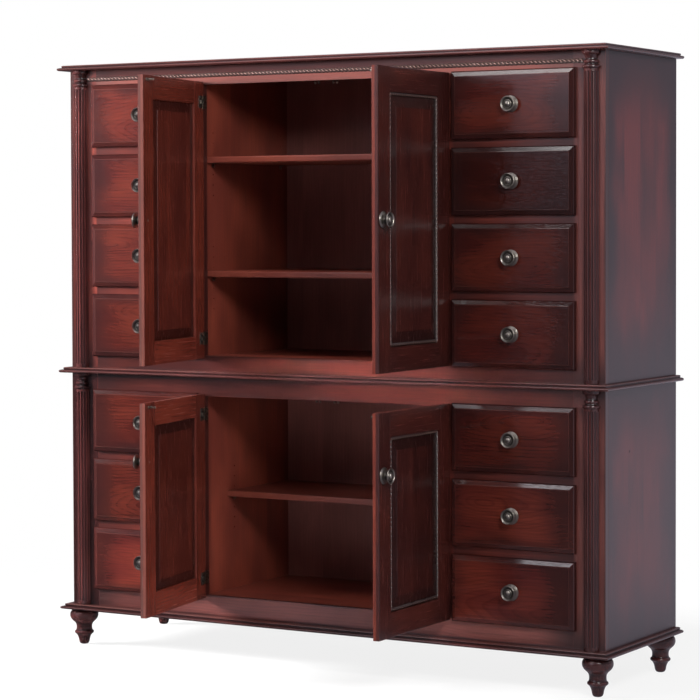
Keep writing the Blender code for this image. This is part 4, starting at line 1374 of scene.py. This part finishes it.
# painted highlight round the edge of the field
keep_note(master_front, "painted_light", [
    FIELD_HIGHLIGHT * (vertex.co.y < FRONT_STEP / 2 - FRONT_THICKNESS and vertex.index not in field_loop)
    for vertex in master_front.data.vertices])
smooth(master_front, 20)
print("drawer front:", len(master_front.data.polygons), "faces")

# %% Drawer box
BOX_WALL = 0.012
BOX_BOTTOM = 0.009
BOX_SIDE_GAP = 0.003
BOX_LIFT = 0.0165        # box bottom above the lower edge of the front
BOX_DROP = 0.022         # box top below the upper edge of the front
BOX_SIDE_EASE = 0.0012
BOX_END_EASE = 0.0008

box_half = front_size.x / 2 - OVERLAY - BOX_SIDE_GAP
box_depth = front_high.y - front_low.y - FRONT_THICKNESS
box_zs = (-front_size.z / 2 + BOX_LIFT, front_size.z / 2 - BOX_DROP)
inner_xs = (-box_half + BOX_WALL, box_half - BOX_WALL)
walls = []
for hand in (-1, 1):
    corners = sided(hand, (box_half - BOX_WALL, box_half), (0, box_depth), box_zs)
    wall = board("box_side", *corners, BOX_SIDE_EASE)
    walls.append(lay_grain(wall, "y", "z", 11 + hand, INSIDE))
for near in (0, box_depth - BOX_WALL):
    wall = board("box_end", *sided(1, inner_xs, (near, near + BOX_WALL), box_zs), BOX_END_EASE)
    walls.append(lay_grain(wall, "x", "z", 14 + near, INSIDE))
bottom_zs = (box_zs[0], box_zs[0] + BOX_BOTTOM)
bottom = board("box_bottom", *sided(1, inner_xs, (BOX_WALL, box_depth - BOX_WALL), bottom_zs))
walls.append(lay_grain(bottom, "x", "y", 17.0, INSIDE))
master_box = joined("master_box", walls)
print("drawer box:", len(master_box.data.polygons), "faces")

# %% [markdown]
# ## Knobs
# The knobs are cast pewter: a stepped back plate, a waist, and a dished front with a button in its
# middle. They are round, so they are spun, and then laid over to face the front.

# %% Knob
KNOB_RADIUS = 0.0238
KNOB_DEPTH = 0.0278
# radius and distance from the wood as shares
KNOB_OUTLINE = (
    (0.00, 0.000), (0.96, 0.000), (0.96, 0.000), (1.00, 0.035), (1.00, 0.085), (0.965, 0.120),
    (0.90, 0.130), (0.90, 0.130), (0.885, 0.175), (0.83, 0.205), (0.76, 0.215), (0.76, 0.215),
    (0.66, 0.245), (0.50, 0.310), (0.41, 0.395), (0.385, 0.480), (0.42, 0.560), (0.55, 0.625),
    (0.72, 0.670), (0.85, 0.720), (0.91, 0.775), (0.925, 0.830), (0.905, 0.870), (0.865, 0.885),
    (0.825, 0.868), (0.79, 0.820), (0.72, 0.775), (0.60, 0.745), (0.52, 0.740), (0.52, 0.740),
    (0.500, 0.785), (0.46, 0.805), (0.42, 0.785), (0.40, 0.760), (0.40, 0.760), (0.385, 0.820),
    (0.33, 0.905), (0.23, 0.970), (0.11, 0.995), (0.00, 1.000),
)

master_knob = turned("lathe_knob", scaled(flowing(KNOB_OUTLINE, 2), KNOB_RADIUS, KNOB_DEPTH), 40)
set_down(master_knob, (0, 0, 0), TO_FRONT)
master_knob.data.materials.append(PEWTER)
print("knob:", len(master_knob.data.polygons), "faces")

# %% Fourteen drawers
# painted light and shade: how much lighter or darker each front is, top to bottom
FRONT_LIGHT_AND_SHADE = {"upper_left": (0.05, -0.20, -0.24, -0.36), "upper_right": (0.00, -0.52, -0.12, -0.04),
               "lower_left": (-0.16, -0.20, 0.55), "lower_right": (-0.30, 0.08, 0.45)}
# how far to the left of its middle the glow of each front lies
GLOW_LEAN = {"upper_left": -0.010, "upper_right": 0.030, "lower_left": -0.030, "lower_right": 0.030}

count = 0
for bank, tones in FRONT_LIGHT_AND_SHADE.items():
    for row, tone in enumerate(tones, 1):
        label = f"{bank}_{row}"
        low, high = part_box(f"drawer_{label}")
        middle = ((low.x + high.x) / 2, low.y + FRONT_THICKNESS, (low.z + high.z) / 2)
        front = set_down(copy_of(master_front, f"front_{label}"), middle)
        shift_seed(front, 110 + 2.37 * count)
        keep_note(front, "lean", GLOW_LEAN[bank])
        keep_note(front, "tone", tone)
        settle(front, f"drawer_{label}", "red_cherry", f"drawer_{label}")
        box = set_down(copy_of(master_box, f"box_{label}"), middle)
        shift_seed(box, 150 + 3.1 * count)
        settle(box, f"drawer_{label}", "inside_cherry")
        handle = set_down(copy_of(master_knob, f"pull_{label}"), (middle[0], low.y - GAP, middle[2]))
        settle(handle, f"drawer_{label}", "pewter", f"knob_{label}")
        count += 1
print(count, "drawers")

# %% [markdown]
# ## Doors
# A door is a frame of two stiles and two rails round a raised panel. It is modelled closed, with its
# hinge line on the Z axis, and swung open only at the end, so that all its boards stay square while
# they are shaped. The same function makes left and right doors: hand is the way from the hinge to
# the free edge.

# %% Door values
DOOR_WIDTH = 0.4295
DOOR_FREE = DOOR_WIDTH - AXIS_FROM_EDGE   # from the hinge line to the free edge
DOOR_STILE = 0.070
OUTER_FACE = -0.010      # from the hinge line
INNER_FACE = 0.009
FACES = (OUTER_FACE, INNER_FACE)
# width and segments of the rounding outside and inside, and of the chamfer round the panel
OUTER_ROUND, INNER_ROUND, STICKING = (0.0025, 4), (0.0012, 2), (0.004, 3)
BEAD_WIDTH = 0.011
PANEL_BEVEL = 0.029
TONGUE = 0.004           # the panel runs this far into its frame
PANEL_INSET = 0.0065     # from the door's faces to the panel's border
FIELD_INSET = 0.0020     # and to its raised fields
FIELD_ARRIS = 0.0006
# outside and inside: the way out, width of the border and of the slope, rise of the slope and of the step
PANEL_STEPS = ((-1, BEAD_WIDTH + TONGUE, PANEL_BEVEL, 0.0033, 0.0012),
               (1, 2 * TONGUE, PANEL_BEVEL - TONGUE, 0.0035, 0.0010))
# painted shade on the panel's bevels and border
PANEL_SHADE = 0.60
EDGE_LIGHT = 0.45          # painted light on the edges round a door
NOTCH_HALF = 0.021
NOTCH_REACH = 0.0033
NOTCH_SKIN = 0.0045
CUT_OVER = 0.001         # a cutter stands out this far
HINGE_INSET = 0.062


def shaped_board(name, corners, way, outside, inside):
    """A door stile or rail: rounded along the door's outline, chamfered where it meets the panel."""
    piece = board(name, *corners)

    def lies(vertex, face, place):
        """Whether a vertex is on this face of the door and at this place along X or Z."""
        return abs(vertex.co.y - face) < TOUCH and abs(vertex.co[WAYS[way]] - place) < TOUCH

    open_up(piece)
    for face, place, (offset, segments) in (
            (OUTER_FACE, outside, OUTER_ROUND),
            (INNER_FACE, outside, INNER_ROUND),
            (INNER_FACE, inside, STICKING)):
        pick("EDGE", lambda edge: all(lies(vertex, face, place) for vertex in edge.verts))
        bpy.ops.mesh.bevel(offset=offset, segments=segments, affect="EDGES")
    let_go()
    # painted light along the door's outer edges
    keep_note(piece, "painted_light", EDGE_LIGHT * (np.abs(spots_of(piece)[:, WAYS[way]] - outside) < TOUCH))
    return piece


def raised_panel(corners):
    """The door's panel, raised on both sides, with painted shade on its bevels and border, darker than its
    fields.
    """
    middle = (OUTER_FACE + INNER_FACE) / 2
    field = (INNER_FACE - OUTER_FACE) / 2 - FIELD_INSET
    panel = board("panel", *corners)
    open_up(panel)
    for way, flat, slope, rise, step in PANEL_STEPS:
        pick("FACE", lambda face: way * face.normal.y > 0.9)
        for wide, high in ((flat, 0), (slope, rise), (FIELD_ARRIS, step)):
            bpy.ops.mesh.inset(thickness=wide, depth=high)
    let_go()
    keep_note(panel, "dark_and_shade", PANEL_SHADE * (np.abs(spots_of(panel)[:, 1] - middle) < field - 0.0001))
    return panel


# %% Door frame and panel
def door_boards(height, hand, seed):
    """Stiles, rails and panel of a closed door, from the hinge line towards hand."""
    edge = -AXIS_FROM_EDGE
    hinge_in, free_in = edge + DOOR_STILE, DOOR_FREE - DOOR_STILE
    boards = []
    for outside, inside in ((edge, hinge_in), (DOOR_FREE, free_in)):
        xs = sorted((outside, inside))
        stile = shaped_board("stile", sided(hand, xs, FACES, (0, height)), "x", hand * outside, hand * inside)
        if outside == edge:
            for z in (HINGE_INSET, height - HINGE_INSET):
                carve(stile, board("notch", *sided(hand, (edge - CUT_OVER, NOTCH_REACH),
                                                   (OUTER_FACE + NOTCH_SKIN, INNER_FACE + CUT_OVER),
                                                   (z - NOTCH_HALF, z + NOTCH_HALF))))
        boards.append(lay_grain(stile, "z", "x", seed + xs[0], DOOR_CHERRY))
    for outside, inside in ((0, DOOR_STILE), (height, height - DOOR_STILE)):
        zs = sorted((outside, inside))
        piece = shaped_board("rail", sided(hand, (hinge_in, free_in), FACES, zs), "z", outside, inside)
        boards.append(lay_grain(piece, "x", "z", seed + 3 + zs[0], DOOR_CHERRY))
    below = DOOR_STILE - TONGUE
    panel = raised_panel(sided(hand, (hinge_in - TONGUE, free_in + TONGUE),
                               (OUTER_FACE + PANEL_INSET, INNER_FACE - PANEL_INSET), (below, height - below)))
    boards.append(lay_grain(panel, "z", "x", seed + 7, PANEL_CHERRY))
    return joined("door_boards", boards)


# %% Rope round a door panel
DOOR_ROPE_RADIUS = 0.0055
# painted shade: the ropes on the doors are darker
DOOR_ROPE_SHADE = -0.45
DOOR_ROPE_SINK = 0.0010  # the rope's crest lies this far behind the door's outer face
DOOR_ROPE_BACK = 0.0068  # and its flat back this far


def mitred_rope(length):
    """A length of rope along X, centred, with its ends cut at 45 degrees for a picture-frame corner."""
    radius = DOOR_ROPE_RADIUS
    piece = rope("door_rope", length + 2 * radius, radius)
    set_down(piece, (-length / 2 - radius, 0, 0))
    slice_off(piece, (-length / 2, 0, 0), (-1, 0, -1))
    slice_off(piece, (length / 2, 0, 0), (1, 0, -1))
    return piece


def panel_rope(height, hand, seed):
    """Four mitred lengths round the outer side of a door's panel."""
    inset = DOOR_STILE + BEAD_WIDTH / 2
    wide = DOOR_WIDTH - 2 * inset
    tall = height - 2 * inset
    middle = hand * (DOOR_WIDTH / 2 - AXIS_FROM_EDGE)
    depth = OUTER_FACE + DOOR_ROPE_SINK + DOOR_ROPE_RADIUS
    lengths = []
    for length, way, turn in ((wide, 1, 0), (wide, -1, -math.pi),
                              (tall, 1, math.pi / 2), (tall, -1, -math.pi / 2)):
        place = (middle, depth, height / 2 - way * tall / 2)
        if length == tall:
            place = (middle - way * wide / 2, depth, height / 2)
        piece = set_down(mitred_rope(length), place, (0, turn, 0))
        along = "x" if length == wide else "z"
        lengths.append(lay_grain(piece, along, "y", seed + len(lengths), ROPE_HIGHLIGHT))
    piece = joined("panel_rope", lengths)
    keep_note(piece, "tone", DOOR_ROPE_SHADE)
    slice_off(piece, (0, OUTER_FACE + DOOR_ROPE_BACK, 0), (0, 1, 0))
    face_out(piece)
    smooth(piece, ROPE_SMOOTH)
    return piece


# %% [markdown]
# ## Hinges, strikes and catches
# The hinges are the concealed kind: a bracket on the stile's edge, which the CAD model has, and on
# the door a screwed plate with a round cup and a short arm. At the top of each door a spear strike
# goes between the two rollers of a catch that hangs behind the top rail.

# %% Hinge plate
PLATE_NEAR = 0.0085      # from the hinge line, clear of the bracket on the stile
PLATE_WIDTH = 0.022
PLATE_HALF = 0.019
PLATE_GAUGE = 0.0016
PLATE_EASE = 0.0005
PLATE_SCREW = 0.0148     # from the plate's middle to each screw
ARM_HALF = 0.0055
ARM_RISE = 0.0026
ARM_EASE = 0.0010
HEAD_SINK = 0.0002       # how deep a screw head sits
# radius and rise in metres: a raised rim round a shallow cup
CUP_OUTLINE = ((0.0, 0.0006), (0.0070, 0.0006), (0.0085, 0.0012), (0.0092, 0.0026), (0.0104, 0.0030),
               (0.0112, 0.0022), (0.0114, 0.0), (0.0, 0.0))


def hinge_plate(hand, z):
    """The door's half of a concealed hinge."""
    middle = PLATE_NEAR + PLATE_WIDTH / 2
    face = INNER_FACE + PLATE_GAUGE
    plate = sided(hand, (PLATE_NEAR, PLATE_NEAR + PLATE_WIDTH), (INNER_FACE, face),
                  (z - PLATE_HALF, z + PLATE_HALF))
    arm = sided(hand, (PLATE_NEAR, middle), (INNER_FACE, face + ARM_RISE), (z - ARM_HALF, z + ARM_HALF))
    parts = [board("plate", *plate, PLATE_EASE),
             set_down(turned("cup", CUP_OUTLINE, 24), (hand * middle, face, z), TO_BACK),
             board("arm", *arm, ARM_EASE)]
    for way in (-1, 1):
        parts.append(screw((hand * middle, face - HEAD_SINK, z + way * PLATE_SCREW), TO_BACK))
    return joined("hinge_plate", parts)


# %% Strike
STRIKE_FROM_EDGE = 0.030
STRIKE_DROP = 0.0130
STRIKE_HALF = (0.013, 0.0045)    # half the plate's width and height
STRIKE_GAUGE = 0.0014
STRIKE_SCREW = 0.0085
SPEAR_HALF = (0.0016, 0.0030)
SPEAR_REACH = 0.021
SPEAR_EASE = 0.0010


def strike(hand, height):
    """A screwed plate with a flat spear, at the top inner corner of a door."""
    x = hand * (DOOR_FREE - STRIKE_FROM_EDGE)
    z = height - STRIKE_DROP
    parts = []
    for name, (wide, tall), reach, ease in (("strike_plate", STRIKE_HALF, STRIKE_GAUGE, METAL_EASE),
                                            ("spear", SPEAR_HALF, SPEAR_REACH, SPEAR_EASE)):
        corners = sided(1, (x - wide, x + wide), (INNER_FACE, INNER_FACE + reach), (z - tall, z + tall))
        parts.append(board(name, *corners, ease))
    for way in (-1, 1):
        parts.append(screw((x + way * STRIKE_SCREW, INNER_FACE + STRIKE_GAUGE - HEAD_SINK, z), TO_BACK))
    return joined("strike", parts)


# %% Hang the doors
KNOB_FROM_EDGE = 0.028
LOWER_KNOB_DROP = 0.173
RIGHT_DOOR_SHADE = -0.38  # painted shade on the right doors, and no painted light on their edges

count = 0
for tier in ROWS:
    for word, side in HANDS.items():
        label = f"{tier}_{word}"
        joint = JOINTS[f"hinge_{label}"]
        low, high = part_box(f"door_{label}")
        height = high.z - low.z
        hand = -side
        axis = (joint["pos_m"][0], joint["pos_m"][1], low.z)
        swing = (0, 0, side * math.radians(joint["range_deg"][1]))
        body = f"door_{label}"

        leaf = named(set_down(door_boards(height, hand, 200 + 11 * count), axis, swing), f"leaf_{label}")
        if side > 0:
            keep_note(leaf, "tone", RIGHT_DOOR_SHADE)
            keep_note(leaf, "painted_light", 0)
        settle(leaf, body, "red_cherry", f"door_{label}")
        trim = named(set_down(panel_rope(height, hand, 300 + 7 * count), axis, swing), f"door_rope_{label}")
        settle(trim, body, "dark_cherry")

        knob_x = hand * (DOOR_FREE - KNOB_FROM_EDGE)
        knob_z = height / 2 if tier == "upper" else height - LOWER_KNOB_DROP
        handle = set_down(copy_of(master_knob, f"pull_door_{label}"), (knob_x, OUTER_FACE - GAP, knob_z))
        settle(set_down(handle, axis, swing), body, "pewter", f"knob_door_{label}")

        fittings = [hinge_plate(hand, z) for z in (HINGE_INSET, height - HINGE_INSET)]
        fittings += [strike(hand, height), screw((knob_x, INNER_FACE - HEAD_SINK, knob_z), TO_BACK)]
        metalwork = coat(joined(f"door_metal_{label}", fittings), NICKEL)
        settle(set_down(metalwork, axis, swing), body, "nickel")
        count += 1
print(count, "doors")

# %% Hinge brackets and catches
for name, node in frame["nodes"].items():
    if name.startswith("hinge_"):
        coat(node, NICKEL)

CATCH_X = AXIS.x - (DOOR_FREE - STRIKE_FROM_EDGE)
CATCH_HALF = 0.011
CATCH_LIFT = 0.0005      # above the cupboard's ceiling
# reach from the rail's back and height above the ceiling, of the plate and of the shelf
CATCH_PARTS = (("catch_plate", 0.0016, 0.020), ("catch_shelf", 0.016, 0.0020))
ROLLER_OUTLINE = ((0.0, 0.0), (0.0030, 0.0), (0.0036, 0.0008),
                  (0.0036, 0.0072), (0.0030, 0.0080), (0.0, 0.0080))
ROLLER_APART = 0.0062    # from the catch's middle to each roller
ROLLER_BACK = 0.010
ROLLER_DROP = 0.0085
PIN_HALF = 0.0012
PIN_ZS = (-0.0095, 0.0015)

for tier in ROWS:
    ceiling_z = heights(tier)[2]
    rail_back = FACE_Y + FRAME_THICKNESS + GAP
    parts = []
    for side in (-1, 1):
        x = side * CATCH_X
        for name, reach, rise in CATCH_PARTS:
            parts.append(board(name, (x - CATCH_HALF, rail_back, ceiling_z + CATCH_LIFT),
                               (x + CATCH_HALF, rail_back + reach, ceiling_z + rise), METAL_EASE))
        for way in (-1, 1):
            x, y = side * CATCH_X + way * ROLLER_APART, rail_back + ROLLER_BACK
            parts.append(set_down(turned("roller", ROLLER_OUTLINE, 16), (x, y, ceiling_z - ROLLER_DROP)))
            parts.append(board("roller_pin", (x - PIN_HALF, y - PIN_HALF, ceiling_z + PIN_ZS[0]),
                               (x + PIN_HALF, y + PIN_HALF, ceiling_z + PIN_ZS[1]), METAL_EASE))
    catch = coat(joined(f"catches_{tier}", parts), NICKEL)
    settle(catch, "carcass", "nickel")
    print(catch.name, len(catch.data.polygons), "faces")

# %% [markdown]
# ## A filled nail hole
# The right side of the lower case shows one small dark dot, where a nail hole has been filled.

# %% Nail plug
PLUG_PLACE = (HALF_WIDTH - 0.0004, FACE_Y + 0.164, 0.681)
# radius and rise in metres
PLUG_OUTLINE = ((0.0, 0.0), (0.0030, 0.0), (0.0030, 0.0005), (0.0026, 0.0008), (0.0, 0.0009))

plug = set_down(turned("nail_plug", PLUG_OUTLINE, 16), PLUG_PLACE, TO_RIGHT)
lay_grain(plug, "z", "y", 5.0, MOULDING)
keep_note(plug, "dark_and_shade", 1)
settle(plug, "carcass", "dark_cherry")

# %% [markdown]
# ## Put the patterns away and print the size
# The lathe patterns were only there to be copied. The size of the dressed model is printed.

# %% Tidy the bench
for pattern in (lathe_screw, master_front, master_box, master_knob):
    bpy.data.objects.remove(pattern)
let_go()

# %% Print the size
low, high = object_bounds()
print("visual box, metres:", [round(x, 4) for x in high - low])
